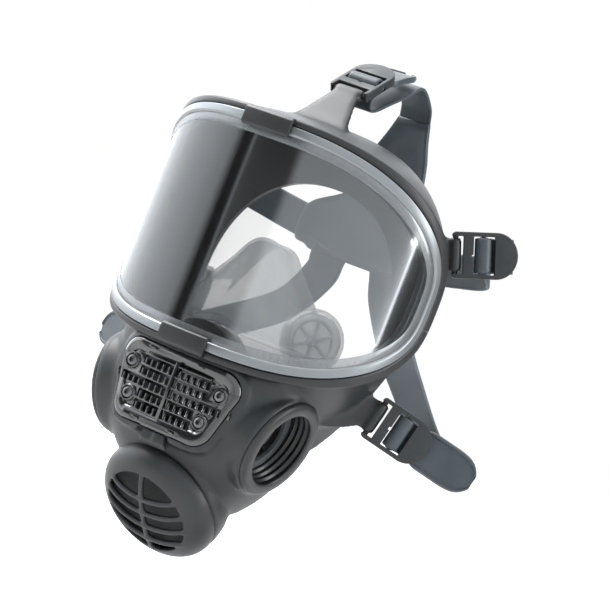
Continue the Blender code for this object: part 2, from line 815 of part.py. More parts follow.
outer = [dome(k / 6, 0.0) for k in range(6, -1, -1)]
inner = [dome(k / 6, CAP_WALL) for k in range(7)]
outer = [(0.0, CAP_HEIGHT), *outer[1:-1], (CAP_R, 0.0)]
inner = [(CAP_R - CAP_WALL, 0.0), *inner[1:-1], (0.0, CAP_HEIGHT - CAP_WALL)]
cap = turned(
    "exhalation_cover",
    outer + inner,
    exhale,
    32,
    look=RUBBER,
)
window_place = exhale @ Matrix.Translation((0, WINDOW_SHIFT * MM, 0))
window = cylinder("cap_window", WINDOW_R, 6.0, 30.0, window_place, 28, cutter=True)
for k, q in enumerate(CAP_BARS):
    corners = (-40, q - 1.1, 0), (40, q + 1.1, 40)
    boolean(window, box(f"cap_bar_{k}", *corners, window_place, cutter=True))
boolean(window, box("cap_bar_up", (-1.1, -40, 0), (1.1, 40, 40), exhale, cutter=True))
boolean(cap, window)

seat_lip = [(22.0, 7.0), (24.0, 7.0), (24.0, 6.0)]
seat = turned(
    "exhalation_seat",
    seat_lip + [(29.9, 6.0), (29.9, 4.3), (SEAT_R, 4.3), (SEAT_R, -6.0), (22.0, -6.0)],
    exhale,
    32,
    look=HARD_BLACK,
)
boolean(seat, cylinder("seat_hub", 5.0, 2.0, 5.0, exhale, 16, cutter=True), "UNION")
for k in range(2):
    place = exhale @ Matrix.Rotation(k * math.pi / 2, 4, "Z")
    spoke = box(f"seat_spoke_{k}", (-23.0, -1.2, 2.2), (23.0, 1.2, 4.8), place, cutter=True)
    boolean(seat, spoke, "UNION")
boolean(seat, cylinder("seat_hub_hole", 2.4, -3, 9, exhale, 12, cutter=True))
disc_stem = [(2.0, 7.3), (2.0, -1.2), (3.0, -2.0), (3.0, -3.4), (0.0, -4.4)]
turned(
    "exhalation_disc",
    [(0.0, 8.3), (DISC_R, 8.3), (DISC_R, 7.3)] + disc_stem,
    exhale,
    28,
    look=GREY_RUBBER,
)

# the latch's section in y and z, about the hinge line at its top
LATCH_HINGE = Vector((0.0, -74.3, -107.2))
LATCH_HALF = 8.5
LATCH_SECTION = ((-1.3, 0.6), (1.4, 0.6), (2.4, -6.8), (0.7, -6.8), (-1.9, -4.3))
latch_place = Matrix(((0, 0, 1, 0), (1, 0, 0, 0), (0, 1, 0, 0), (0, 0, 0, 1)))
latch_place.translation = LATCH_HINGE * MM
prism("cover_latch", LATCH_SECTION, -LATCH_HALF, LATCH_HALF, latch_place, look=RUBBER)


# ---------------------------------------------------------------- filter ports

def thread_section():
    """The port's inner wall, with a round thread cut as grooves one pitch apart."""
    points = []
    depth = 1.0
    while depth < 11.5:
        points.append((THREAD_R, -depth))
        points.append((THREAD_R + THREAD_DEPTH, -(depth + THREAD_PITCH * 0.35)))
        points.append((THREAD_R + THREAD_DEPTH, -(depth + THREAD_PITCH * 0.65)))
        depth += THREAD_PITCH
    points.append((THREAD_R, -depth))
    return points


for side_name, side in SIDES:
    place = ports[side_name]
    wall = thread_section()
    profile = [(THREAD_R, 0.0), (25.6, 0.0), (PORT_FLANGE_R, -1.2), (PORT_FLANGE_R, -2.5)]
    profile += [(PORT_BARREL_R, -2.5), (PORT_BARREL_R, -PORT_DEPTH - 5.0)]
    profile.append((THREAD_R, -PORT_DEPTH - 5.0))
    profile += list(reversed(wall))
    turned("port_ring_" + side_name, profile, place, 28, look=HARD_BLACK)
    d = -PORT_DEPTH
    turned(
        "port_gasket_" + side_name,
        [(15.5, d + 2.0), (19.9, d + 2.0), (19.9, d), (15.5, d)],
        place,
        24,
        look=GREY_RUBBER,
    )
    ring = turned(
        "inhalation_seat_" + side_name,
        [(15.0, d - 0.3), (19.9, d - 0.3), (19.9, d - 2.6), (15.0, d - 2.6)],
        place,
        24,
        look=HARD_BLACK,
    )
    hub = cylinder("valve_hub_" + side_name, 3.6, d - 2.3, d - 0.6, place, 14, cutter=True)
    boolean(ring, hub, "UNION")
    for k in range(3):
        turn = place @ Matrix.Rotation(k * math.pi / 3, 4, "Z")
        corners = (-15.6, -0.9, d - 2.2), (15.6, 0.9, d - 0.7)
        boolean(ring, box(f"valve_rib_{side_name}_{k}", *corners, turn, cutter=True), "UNION")
    hub_hole = cylinder("valve_hub_hole_" + side_name, 1.6, d - 8, d + 3, place, 10, cutter=True)
    boolean(ring, hub_hole)
    bulb = [(0.0, d + 2.9), (2.2, d + 2.9), (2.2, d + 1.9), (1.3, d + 1.9), (1.3, d - 2.9)]
    turned(
        "inhalation_disc_" + side_name,
        bulb + [(17.6, d - 2.9), (17.6, d - 3.7), (0.0, d - 3.7)],
        place,
        24,
        look=GREY_RUBBER,
    )


# ---------------------------------------------------------------- inner mask

FACE_EDGE = (
    (0, -22, 5), (8, -21, 3), (15, -18, -6), (26, -13, -20), (37, -8, -38),
    (42, -5, -60), (37, -6, -80), (22, -9, -95), (0, -11, -100),
)
CHEEK = (
    (0, -43, 4), (9, -42, 1), (16, -41, -9), (27, -38, -22), (38, -33, -38),
    (40, -31, -55), (30, -34, -71), (20, -38, -87), (0, -40, -95),
)


def spline(a, b, c, d, u):
    """A smooth curve from b to c, with a before and d after."""
    bend = (2 * a - 5 * b + 4 * c - d) * u * u
    twist = (3 * b - a - 3 * c + d) * u**3
    return 0.5 * (2 * b + (c - a) * u + bend + twist)


def half_ring(points, steps):
    """A smooth ring through points down the wearer's left, mirrored to the right."""
    pts = [Vector(p) for p in points]

    def curve(t):
        s = t * (len(pts) - 1)
        i = min(int(s), len(pts) - 2)
        u = s - i
        a = pts[i - 1] if i > 0 else mirrored(pts[1], -1)
        b, c = pts[i], pts[i + 1]
        d = pts[i + 2] if i + 2 < len(pts) else mirrored(pts[-2], -1)
        return spline(a, b, c, d, u)

    left = resampled(curve, steps)
    return left + [mirrored(v, -1) for v in reversed(left[1:-1])]


STEPS = 14


def collar_ring(radius, y):
    ring = []
    for i in range(2 * STEPS):
        a = math.pi * i / STEPS
        ring.append(Vector((radius * math.sin(a), y, HOUSING_Z + radius * math.cos(a))))
    return ring


def shrunk(ring, by):
    """The ring moved in towards its own middle."""
    middle = sum(ring, Vector()) / len(ring)
    out = []
    for v in ring:
        d = v - middle
        d.y = 0.0
        out.append(v - d.normalized() * by)
    return out


def between(first, second, share, forward, wider=0.0):
    """A ring between two, moved forward and made wider by a share of its own width."""
    ring = []
    for a, b in zip(first, second):
        ring.append(a.lerp(b, share) + Vector((a.x * wider, -forward, 0.0)))
    return ring


edge_ring = half_ring(FACE_EDGE, STEPS)
cheek_ring = half_ring(CHEEK, STEPS)
edge_in = shrunk(edge_ring, 2.0)
cheek_in = shrunk(cheek_ring, 2.0)
inner_rings = [
    edge_ring,
    between(edge_ring, cheek_ring, 0.5, 0.0, 0.03),
    cheek_ring,
    between(cheek_ring, collar_ring(33.0, -52.0), 0.45, 3.5),
    collar_ring(31.0, -54.0),
    collar_ring(31.0, -60.0),
    collar_ring(HOUSING_R + 1.6 * GAP, -60.0),
    collar_ring(HOUSING_R + 1.6 * GAP, -51.5),
    between(cheek_in, collar_ring(31.0, -49.5), 0.45, 1.0),
    cheek_in,
    between(edge_in, cheek_in, 0.5, 0.0, 0.03),
    edge_in,
]
inner_mask = rings_solid("inner_mask", inner_rings, None, look=(*MILKY, 0.0, 0.75, 0.3))
for side_name, side in SIDES:
    edge = [(x, bend_y(x) + 11.0) for x in (16.0, 26.0, 36.0, 44.0, 49.0)]
    outline = [(14.0, -57.0), *edge, (51.0, -48.0), (50.0, -36.0), (40.0, -32.0), (30.0, -44.0)]
    outline = [(x * side, y) for x, y in outline]
    boolean(inner_mask, prism("inner_wing_" + side_name, outline, -45.6, -43.2, cutter=True), "UNION")
valve_places = {}
for side_name, side in SIDES:
    facing = Vector((math.sin(INNER_VALVE_TURN) * side, -math.cos(INNER_VALVE_TURN), 0.0))
    place = axis_place(mirrored(INNER_VALVE, side), facing)
    valve_places[side_name] = place
    boss = cylinder("inner_boss_" + side_name, 17.2, -2.2, 2.2, place, 24, cutter=True)
    boolean(inner_mask, boss, "UNION")
for side_name, side in SIDES:
    place = valve_places[side_name]
    hole_r = INNER_SEAT_R + GAP
    boolean(inner_mask, cylinder("inner_hole_" + side_name, hole_r, -14, 9, place, 24, cutter=True))
    ring = turned(
        "inner_valve_seat_" + side_name,
        [(10.4, 1.6), (12.0, 2.4), (INNER_SEAT_R, 2.0), (INNER_SEAT_R, -1.6), (10.4, -1.6)],
        place,
        24,
        look=(*MILKY, 0.0),
    )
    hub = cylinder("inner_hub_" + side_name, 2.8, -1.0, 1.0, place, 12, cutter=True)
    boolean(ring, hub, "UNION")
    for k in range(3):
        turn = place @ Matrix.Rotation(k * math.pi / 3, 4, "Z")
        corners = (-11.0, -0.7, -0.8), (11.0, 0.7, 0.8)
        boolean(ring, box(f"inner_spoke_{side_name}_{k}", *corners, turn, cutter=True), "UNION")
    boolean(ring, cylinder("inner_hub_hole_" + side_name, 1.3, -5, 5, place, 10, cutter=True))
    bulb = [(0.0, 4.3), (1.7, 4.3), (1.7, 3.4), (1.0, 3.4), (1.0, -1.9)]
    turned(
        "inner_valve_flap_" + side_name,
        bulb + [(12.6, -1.9), (12.6, -2.6), (0.0, -2.6)],
        place,
        20,
        look=MILKY,
    )


# ---------------------------------------------------------------- buckles

def buckle_outline():
    points = [(-1.9, -BUCKLE_HALF), (BUCKLE_END - 11.0, -BUCKLE_HALF)]
    for k in range(1, 9):
        a = -math.pi / 2 + math.pi * k / 9
        points.append((BUCKLE_END - 11.0 + 11.0 * math.cos(a), BUCKLE_HALF * math.sin(a)))
    points += [(BUCKLE_END - 11.0, BUCKLE_HALF), (-1.9, BUCKLE_HALF)]
    return points


for name, place in BUCKLES.items():
    body = prism("buckle_" + name, buckle_outline(), BUCKLE_LOW, BUCKLE_HIGH, place, look=HARD_BLACK)
    for room, low, high in (("sleeve", -9.0, 4.0), ("strap", 9.3, 20.2)):
        corners = (low, -WINDOW_HALF, -9), (high, WINDOW_HALF, 9)
        boolean(body, box(f"{room}_room_{name}", *corners, place, cutter=True))
    along_bar = place @ Matrix.Rotation(math.pi / 2, 4, "X")
    bar = cylinder("pivot_bar_" + name, BAR_R, -10.6, 10.6, along_bar, 12, cutter=True)
    boolean(body, bar, "UNION")
    at_roller = along_bar @ Matrix.Translation((ROLLER_U * MM, 0, 0))
    boolean(body, cylinder("axle_hole_" + name, 1.35, -14, 14, at_roller, 10, cutter=True))
    half = [(1.05, 11.4), (1.05, 9.5), (ROLLER_R, 9.5)]
    other_half = [(r, -h) for r, h in reversed(half)]
    turned(
        "roller_" + name,
        [(0.0, 11.4), *half, *other_half, (0.0, -11.4)],
        at_roller,
        12,
        look=(*STEEL, 0.7),
    )


# ---------------------------------------------------------------- head harness

PLATE_Y = 57.0
PLATE_HALF = (
    (10.0, 97.0), (13.0, 87.0), (17.0, 76.0), (20.0, 64.0), (23.0, 48.0), (44.0, 34.0),
    (45.0, 15.0), (37.0, 12.0), (31.0, 10.0), (8.5, 10.0),
)


def smooth_path(points, per=5):
    pts = [Vector(p) for p in points]
    out = []
    for i in range(len(pts) - 1):
        a = pts[i - 1] if i else pts[i] * 2 - pts[i + 1]
        b, c = pts[i], pts[i + 1]
        d = pts[i + 2] if i + 2 < len(pts) else c * 2 - b
        for k in range(per):
            u = k / per
            out.append(spline(a, b, c, d, u))
    out.append(pts[-1])
    return out


def around_roller():
    """The strap's centre line over the roller, in the buckle's own x and z."""
    r = ROLLER_R + 1.6 * GAP + STRAP_THICK / 2
    arc = []
    for k in range(7):
        a = math.radians(188.0 - 196.0 * k / 6)
        arc.append((ROLLER_U + r * math.cos(a), r * math.sin(a)))
    return arc


# each strap in its buckle's own x and z: the run in from the harness, then the free end
STRAP_IN = {
    "top": ((44.0, -17.0), (28.0, -15.0), (14.0, -13.5), (7.6, -11.0), (7.4, -7.0), (10.4, -3.4)),
    "temple": (
        (17.0, -17.5), (25.0, -14.0), (29.0, -10.6), (27.5, -7.2),
        (21.0, -6.2), (14.5, -6.0), (11.4, -3.4),
    ),
    "lower": (
        (36.0, -18.0), (50.0, -15.5), (56.0, -11.5), (53.0, -7.8),
        (40.0, -6.6), (24.0, -6.2), (14.5, -6.0), (11.4, -3.4),
    ),
}
STRAP_OUT = {
    "top": ((18.0, -1.6), (20.2, -3.1), (27.0, -3.2), (36.0, -4.6), (46.0, -7.6), (55.0, -12.0)),
    "temple": ((18.0, -1.6), (20.2, -3.1), (24.0, -3.2), (30.0, -3.2)),
    "lower": ((18.0, -1.6), (20.2, -3.1), (28.0, -3.2), (40.0, -2.6), (52.0, -1.4), (60.0, -1.0)),
}
# free run from the plate to the buckle
STRAP_RUN = {
    "top": ((0, 52, 105), (0, 38, 112)),
    "temple": ((62, 52, 27), (84, 40, 31)),
    "lower": ((23, 60, -2), (38, 61, -24), (62, 50, -44)),
}
START_EDGE = {"top": (0, "flip"), "temple": (5, 6), "lower": (8, 9)}

plate_right = [Vector((x, PLATE_Y, z)) for x, z in PLATE_HALF]
plate_left = [mirrored(v, -1) for v in plate_right]
harness_verts = [Vector((0.0, PLATE_Y + 1.5, 42.0))] + plate_right + list(reversed(plate_left))
harness_faces = []
ring_size = len(harness_verts) - 1
for i in range(ring_size):
    harness_faces.append((0, 1 + i, 1 + (i + 1) % ring_size))


def boundary_index(k, side):
    """Index in the harness of the plate's k-th corner on one side."""
    return 1 + k if side > 0 else ring_size - k


for name, kind, side in TAB_LIST:
    place = BUCKLES[name]
    turn = place.to_3x3()
    across_end = turn @ Vector((0.0, 1.0, 0.0))
    origin = place.translation / MM

    def in_buckle(points):
        return [origin + turn @ Vector((u, 0.0, w)) for u, w in points]

    if kind == "top":
        first, second = boundary_index(0, 1), boundary_index(0, -1)
    else:
        first, second = (boundary_index(k, side) for k in START_EDGE[kind])
    p1, p2 = harness_verts[first], harness_verts[second]
    middle = (p1 + p2) / 2
    across_start = (p1 - p2).normalized()
    if across_start.dot(across_end) < 0:
        across_end = -across_end
    run = [middle] + [mirrored(p, side) for p in STRAP_RUN[kind]]
    free = smooth_path(run + in_buckle(STRAP_IN[kind]), 3)
    wrap = in_buckle(around_roller())
    tail = smooth_path(in_buckle(STRAP_OUT[kind]), 2)
    line = free + wrap + tail
    twist_end = len(run) * 3
    half_start = (p1 - p2).length / 2
    last_pair = (first, second)
    for k in range(1, len(line)):
        share = min(k / twist_end, 1.0)
        share = share * share * (3 - 2 * share)
        across = across_start.lerp(across_end, share)
        direction = (line[min(k + 1, len(line) - 1)] - line[k - 1]).normalized()
        across = (across - direction * across.dot(direction)).normalized()
        half = half_start + (STRAP_HALF - half_start) * share
        into_tail = k - (len(free) + len(wrap))
        if into_tail > 3 and kind != "temple":
            from_end = len(line) - 1 - k
            half = STRAP_HALF + (-4.5, -1.0, 2.0)[min(from_end, 2)]
        harness_verts.append(line[k] + across * half)
        harness_verts.append(line[k] - across * half)
        pair = (len(harness_verts) - 2, len(harness_verts) - 1)
        harness_faces.append((last_pair[1], last_pair[0], pair[0], pair[1]))
        last_pair = pair

bm = bmesh.new()
points = [bm.verts.new(v) for v in harness_verts]
for face in harness_faces:
    bm.faces.new([points[i] for i in face])
bmesh.ops.recalc_face_normals(bm, faces=bm.faces)
bm.verts.index_update()
harness_faces = [tuple(v.index for v in f.verts) for f in bm.faces]
bm.free()
harness = sheet_solid("head_harness", harness_verts, harness_faces, STRAP_THICK, look=STRAP_GREY)
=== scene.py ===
import json
import math

import bmesh
import bpy
from mathutils import Matrix, Vector


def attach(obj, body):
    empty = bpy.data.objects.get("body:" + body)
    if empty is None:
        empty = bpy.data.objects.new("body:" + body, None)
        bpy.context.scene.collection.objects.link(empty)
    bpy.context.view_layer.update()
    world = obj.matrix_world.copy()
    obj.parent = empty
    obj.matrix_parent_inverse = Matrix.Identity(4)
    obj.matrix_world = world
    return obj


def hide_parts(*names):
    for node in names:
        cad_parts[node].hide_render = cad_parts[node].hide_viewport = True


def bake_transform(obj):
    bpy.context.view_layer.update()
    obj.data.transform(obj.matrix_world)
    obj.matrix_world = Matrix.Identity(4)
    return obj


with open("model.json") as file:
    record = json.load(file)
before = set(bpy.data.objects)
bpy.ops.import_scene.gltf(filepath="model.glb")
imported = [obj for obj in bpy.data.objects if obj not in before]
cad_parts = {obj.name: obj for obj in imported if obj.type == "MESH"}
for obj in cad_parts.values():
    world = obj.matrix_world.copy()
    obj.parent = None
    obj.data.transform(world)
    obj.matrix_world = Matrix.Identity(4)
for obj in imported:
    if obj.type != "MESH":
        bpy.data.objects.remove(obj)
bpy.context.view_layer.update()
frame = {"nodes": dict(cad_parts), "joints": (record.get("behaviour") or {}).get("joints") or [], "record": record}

MM = 0.001
SIDES = (("left", 1), ("right", -1))
JOINTS = {j["name"]: j for j in frame["joints"]}
MOUNTS = {m["name"]: m for m in frame["record"]["mounts"]}

# visor
FRONT_Y = -80
BEND_HALF_WIDTH = 88
BEND_DEPTH = 85
BEND_POWER = 2.2
BEND_LIMIT = 0.9999  # the bend is vertical at its half width
VISOR_HALF_WIDTH = 86
VISOR_HALF_HEIGHT = 57.5
VISOR_POWER = 3.3
VISOR_Z = 0.7
RIM_HALF = 2.4
RIM_PROUD = 2.6
SHEET_HALF = 1.2
QUARTER = 40  # outline points in a quarter
SEAM_Z = -10
SEAM_GAP = 0.05  # half the slit between the frame halves
FRAME_BACK = -6
FRAME_TOP = 6.5  # the frame's reach past the outline, at the middle
FRAME_SIDE = 2.5  # how much farther it reaches at the sides
CLIP_HALF = 14
GAP = 0.3

# facepiece
WALL = 3
REAR_Y = 5
REAR_Z = 10
REAR_HALF_WIDTH = 77
REAR_UP = (64, 2.1)  # height above REAR_Z and the outline's power
REAR_DOWN = (128, 1.8)
SKIRT_BULGE = 9
OPENING_Z = -22  # the face opening's middle
OPENING_HALF_WIDTH, OPENING_UP, OPENING_DOWN = 58, 65, 74
MUZZLE_POWER = 2.6
MUZZLE = (  # z, half width, front y, back y
    (-61.5, 57, -74.8, 4),
    (-84, 55, -74.8, 4),
    (-102, 51, -74.4, 4),
    (-112, 46, -70, 2.5),
    (-124, 38, -60, -1.5),
    (-134, 29, -46, -8),
)

# exhalation cap
EXHALE = Vector((0, -45.5, -138.5))
CAP_R = 34
CAP_HEIGHT = 17
CAP_WALL = 2.2
CAP_BARS = (-15, -6, 3, 12)
BAR_SINK = 1.3  # how far the bars' middles lie below the cap's skin
WINDOW_SHIFT = 1

# straps
STRAP_HALF = 9
STRAP_THICK = 1.8
ROLLER_U = 14.3  # from the buckle's bar to its roller
ROLLER_R = 2.2


# ---- materials

def node(tree, kind, **values):
    n = tree.nodes.new(kind)
    for key, value in values.items():
        if key.startswith("in_"):
            n.inputs[key[3:].replace("_", " ")].default_value = value
        else:
            setattr(n, key, value)
    return n


def material(name):
    m = bpy.data.materials.new(name)
    m.use_nodes = True
    return m, m.node_tree, m.node_tree.nodes["Principled BSDF"]


def noise(t, scale, detail, rough=0.5):
    """Noise in the object's own coordinates."""
    at = node(t, "ShaderNodeTexCoord")
    n = node(t, "ShaderNodeTexNoise", in_Scale=scale, in_Detail=detail, in_Roughness=rough)
    t.links.new(at.outputs["Object"], n.inputs["Vector"])
    return n


def coloured(t, cloud, colours, ends):
    """A ramp from the first colour to the second, by the noise."""
    ramp = node(t, "ShaderNodeValToRGB")
    for element, colour, at in zip(ramp.color_ramp.elements, colours, ends):
        element.position = at
        element.color = (*colour, 1.0)
    t.links.new(cloud.outputs["Fac"], ramp.inputs["Fac"])
    t.links.new(ramp.outputs["Color"], t.nodes["Principled BSDF"].inputs["Base Color"])


def glossed(t, cloud, rough):
    """Roughness from the first value to the second, by the noise."""
    gloss = node(t, "ShaderNodeMapRange", in_To_Min=rough[0], in_To_Max=rough[1])
    t.links.new(cloud.outputs["Fac"], gloss.inputs["Value"])
    t.links.new(gloss.outputs["Result"], t.nodes["Principled BSDF"].inputs["Roughness"])


def moulded(name, dark, light, rough, grain, bump, patch, metallic=0.0, **sockets):
    """Soft colour patches, uneven gloss and a raised grain; grain and patch in millimetres."""
    m, t, s = material(name)
    s.inputs["Metallic"].default_value = metallic
    for key, value in sockets.items():
        s.inputs[key.replace("_", " ")].default_value = value
    coloured(t, noise(t, 1000.0 / patch, 5.0, 0.6), (dark, light), (0.32, 0.68))
    glossed(t, noise(t, 4000.0 / patch, 6.0), rough)
    fine = noise(t, 1000.0 / grain, 3.0, 0.55)
    raised = node(t, "ShaderNodeBump", in_Strength=bump, in_Distance=grain * MM * 0.4)
    t.links.new(fine.outputs["Fac"], raised.inputs["Height"])
    t.links.new(raised.outputs["Normal"], s.inputs["Normal"])
    return m


RUBBER = moulded(
    "facepiece_rubber", (0.021, 0.024, 0.026), (0.030, 0.034, 0.036), (0.38, 0.50), 0.45, 0.06, 30.0
)
SOFT_RUBBER = moulded(
    "cover_rubber", (0.023, 0.026, 0.028), (0.032, 0.036, 0.038), (0.36, 0.48), 0.4, 0.06, 20.0
)
FRAME = moulded(
    "frame_plastic", (0.020, 0.022, 0.024), (0.028, 0.031, 0.033), (0.34, 0.44), 0.35, 0.05, 22.0
)
RIM = moulded(
    "rim_silver", (0.27, 0.29, 0.30), (0.31, 0.33, 0.34), (0.28, 0.36), 0.3, 0.02, 60.0,
    metallic=0.75,
)
LIP = moulded(
    "lip_silver", (0.34, 0.36, 0.37), (0.40, 0.42, 0.43), (0.18, 0.28), 0.3, 0.02, 60.0,
    metallic=0.6, Alpha=0.5,
)
GLOSSY = moulded(
    "cover_gloss", (0.004, 0.005, 0.005), (0.008, 0.009, 0.009), (0.13, 0.22), 0.3, 0.02, 12.0,
    Coat_Weight=0.8, IOR=1.8,
)
STRAP = moulded(
    "strap_rubber", (0.056, 0.071, 0.083), (0.074, 0.092, 0.107), (0.38, 0.50), 0.4, 0.06, 18.0
)
ROLLER = moulded(
    "roller_plastic", (0.11, 0.15, 0.18), (0.15, 0.195, 0.23), (0.28, 0.40), 0.3, 0.10, 10.0
)
BUCKLE = moulded(
    "buckle_plastic", (0.022, 0.025, 0.027), (0.032, 0.036, 0.039), (0.34, 0.46), 0.35, 0.06, 14.0
)
VALVE = moulded(
    "valve_rubber", (0.009, 0.010, 0.011), (0.015, 0.016, 0.017), (0.55, 0.68), 0.4, 0.08, 12.0
)
STEEL = moulded(
    "screw_steel", (0.13, 0.13, 0.135), (0.20, 0.20, 0.205), (0.22, 0.36), 0.2, 0.10, 4.0,
    metallic=1.0,
)
FOIL = moulded(
    "diaphragm_foil", (0.30, 0.31, 0.32), (0.42, 0.43, 0.44), (0.30, 0.42), 0.4, 0.10, 8.0,
    metallic=1.0,
)
SEAL = moulded("seal_rubber", (0.09, 0.10, 0.11), (0.13, 0.14, 0.15), (0.50, 0.62), 0.4, 0.15, 10.0)
PORT = moulded(
    "port_plastic", (0.010, 0.011, 0.012), (0.018, 0.020, 0.021), (0.24, 0.36), 0.3, 0.03, 14.0
)
MILKY = moulded(
    "inner_silicone", (0.66, 0.69, 0.70), (0.74, 0.77, 0.78), (0.20, 0.32), 0.5, 0.02, 40.0,
    Alpha=0.46,
)
MILKY_HARD = moulded(
    "valve_silicone", (0.70, 0.74, 0.75), (0.82, 0.85, 0.86), (0.20, 0.30), 0.4, 0.02, 20.0,
    Alpha=0.70,
)


def clear_sheet(name):
    """A clear sheet: it only reflects, by Fresnel, with the faintest haze in it."""
    m, t, s = material(name)
    s.inputs["Metallic"].default_value = 1.0
    cloud = noise(t, 30.0, 4.0)
    coloured(t, cloud, ((0.90, 0.93, 0.94), (0.97, 0.98, 0.99)), (0.0, 1.0))
    glossed(t, cloud, (0.02, 0.06))
    edge = node(t, "ShaderNodeFresnel", in_IOR=1.75)
    t.links.new(edge.outputs["Fac"], s.inputs["Alpha"])
    return m


CLEAR = clear_sheet("visor_clear")


# ---- helpers

def stand_in(ob, node_name, body="mask"):
    """The piece replaces a CAD node and rides on a body."""
    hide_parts(node_name)
    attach(ob, body)


def in_scene(name, data):
    ob = bpy.data.objects.new(name, data)
    bpy.context.scene.collection.objects.link(ob)
    return ob


def shape(name, verts, faces, look=None, smooth=40):
    """A mesh from points in millimetres, faces out, creased at sharp edges."""
    mesh = bpy.data.meshes.new(name)
    mesh.from_pydata([Vector(v) * MM for v in verts], [], faces)
    bm = bmesh.new()
    bm.from_mesh(mesh)
    bmesh.ops.remove_doubles(bm, verts=bm.verts, dist=0.000001)
    bmesh.ops.recalc_face_normals(bm, faces=bm.faces)
    bm.to_mesh(mesh)
    bm.free()
    ob = in_scene(name, mesh)
    if look:
        mesh.materials.append(look)
    if smooth:
        shaded(ob, smooth)
    return ob


def shaded(ob, angle):
    ob.data.shade_smooth()
    ob.data.set_sharp_from_angle(angle=math.radians(angle))
    return ob


def painted(ob, look):
    """The object in one material only."""
    ob.data.materials.clear()
    ob.data.materials.append(look)


def baked(ob):
    """The object with its modifiers made into its mesh."""
    bpy.context.view_layer.update()
    graph = bpy.context.evaluated_depsgraph_get()
    mesh = bpy.data.meshes.new_from_object(ob.evaluated_get(graph))
    ob.modifiers.clear()
    ob.data = mesh
    return ob


def carve(ob, others, operation="DIFFERENCE"):
    others = others if isinstance(others, list) else [others]
    for other in others:
        m = ob.modifiers.new("cut", "BOOLEAN")
        m.operation = operation
        m.solver = "MANIFOLD"
        m.object = other
    baked(ob)
    for other in others:
        bpy.data.objects.remove(other, do_unlink=True)
    return ob


def joined(name, pieces):
    """Several pieces in one mesh, with their own materials kept."""
    bm = bmesh.new()
    mesh = bpy.data.meshes.new(name)
    for piece in pieces:
        slots = []
        for m in [m for m in piece.data.materials if m]:
            if m.name not in mesh.materials:
                mesh.materials.append(m)
            slots.append(mesh.materials.find(m.name))
        start = len(bm.faces)
        piece.data.transform(piece.matrix_world)
        bm.from_mesh(piece.data)
        bm.faces.ensure_lookup_table()
        for f in bm.faces[start:]:
            if slots:
                f.material_index = slots[min(f.material_index, len(slots) - 1)]
        bpy.data.objects.remove(piece, do_unlink=True)
    bm.to_mesh(mesh)
    bm.free()
    return in_scene(name, mesh)


def softened(ob, voxel, rounds, look=None):
    """One skin over everything in the mesh, its edges rounded as moulded rubber is."""
    m = ob.modifiers.new("skin", "REMESH")
    m.mode = "VOXEL"
    m.voxel_size = voxel * MM
    m = ob.modifiers.new("soft", "SMOOTH")
    m.iterations = rounds
    baked(ob)
    if look:
        painted(ob, look)
    ob.data.shade_smooth()
    return ob


def bevelled(ob, width, segments=2, angle=35):
    m = ob.modifiers.new("edge", "BEVEL")
    m.width = width * MM
    m.segments = segments
    m.limit_method = "ANGLE"
    m.angle_limit = math.radians(angle)
    baked(ob)
    return shaded(ob, 50)


def loft(name, rings, caps=("fan", "fan"), look=None, smooth=40):
    """A skin through closed rings of equal length; no caps joins the last ring to the first."""
    n = len(rings[0])
    verts = [Vector(v) for ring in rings for v in ring]
    faces = []
    last = len(rings) - 1
    for k in range(last if caps else last + 1):
        a, b = k * n, ((k + 1) % len(rings)) * n
        for i in range(n):
            j = (i + 1) % n
            faces.append((a + i, a + j, b + j, b + i))
    for base, cap in zip((0, last * n), caps or ()):
        if cap == "ladder":
            for i in range(n // 2):
                low = (n - i) % n
                faces.append((base + i, base + i + 1, base + n - i - 1, base + low))
        elif cap == "flat":
            faces.append(tuple(range(base, base + n)))
        elif cap == "fan":
            verts.append(sum((verts[base + i] for i in range(n)), Vector()) / n)
            for i in range(n):
                faces.append((base + i, base + (i + 1) % n, len(verts) - 1))
    faces = [tuple(dict.fromkeys(f)) for f in faces]
    return shape(name, verts, faces, look, smooth)


def axis_place(centre, direction, side=(0, 0, 1)):
    z = Vector(direction).normalized()
    x = Vector(side)
    if abs(x.normalized().dot(z)) > 0.99:
        x = Vector((1, 0, 0))
    y = z.cross(x).normalized()
    m = Matrix((y.cross(z), y, z)).transposed().to_4x4()
    m.translation = Vector(centre)
    return m


def turns(steps):
    return [2 * math.pi * i / steps for i in range(steps)]


def circle(place, r, h, steps):
    return [place @ Vector((r * math.cos(a), r * math.sin(a), h)) for a in turns(steps)]


def turned(name, profile, place, steps=96, look=None):
    """A turned shape: profile holds (radius, height); place is in millimetres."""
    rings = [circle(place, r, h, steps) for r, h in profile]
    closed = profile[0][0] > 0.01
    return loft(name, rings, None if closed else ("flat", "flat"), look, 30)


def rod(name, r, top, bottom, place, steps=96):
    return turned(name, [(0, top), (r, top), (r, bottom), (0, bottom)], place, steps)


def rounded(points, radius, steps=4):
    """A closed section with its corners rounded."""
    out = []
    n = len(points)
    for i in range(n):
        here = Vector(points[i])
        before = Vector(points[i - 1]) - here
        after = Vector(points[(i + 1) % n]) - here
        r = min(radius, before.length * 0.45, after.length * 0.45)
        a, b = here + before.normalized() * r, here + after.normalized() * r
        for k in range(steps + 1):
            u = k / steps
            out.append(tuple(a * (1 - u) ** 2 + here * 2 * u * (1 - u) + b * u * u))
    return out


def prism(name, outline, low, high, place=Matrix(), smooth=40):
    rings = [[place @ Vector((x, y, h)) for x, y in outline] for h in (low, high)]
    return loft(name, rings, ("flat", "flat"), None, smooth)


def oblong(x, y, far_x, far_y):
    return [(x, y), (far_x, y), (far_x, far_y), (x, far_y)]


def block(name, low, high, place=Matrix()):
    return prism(name, oblong(*low[:2], *high[:2]), low[2], high[2], place, 0)


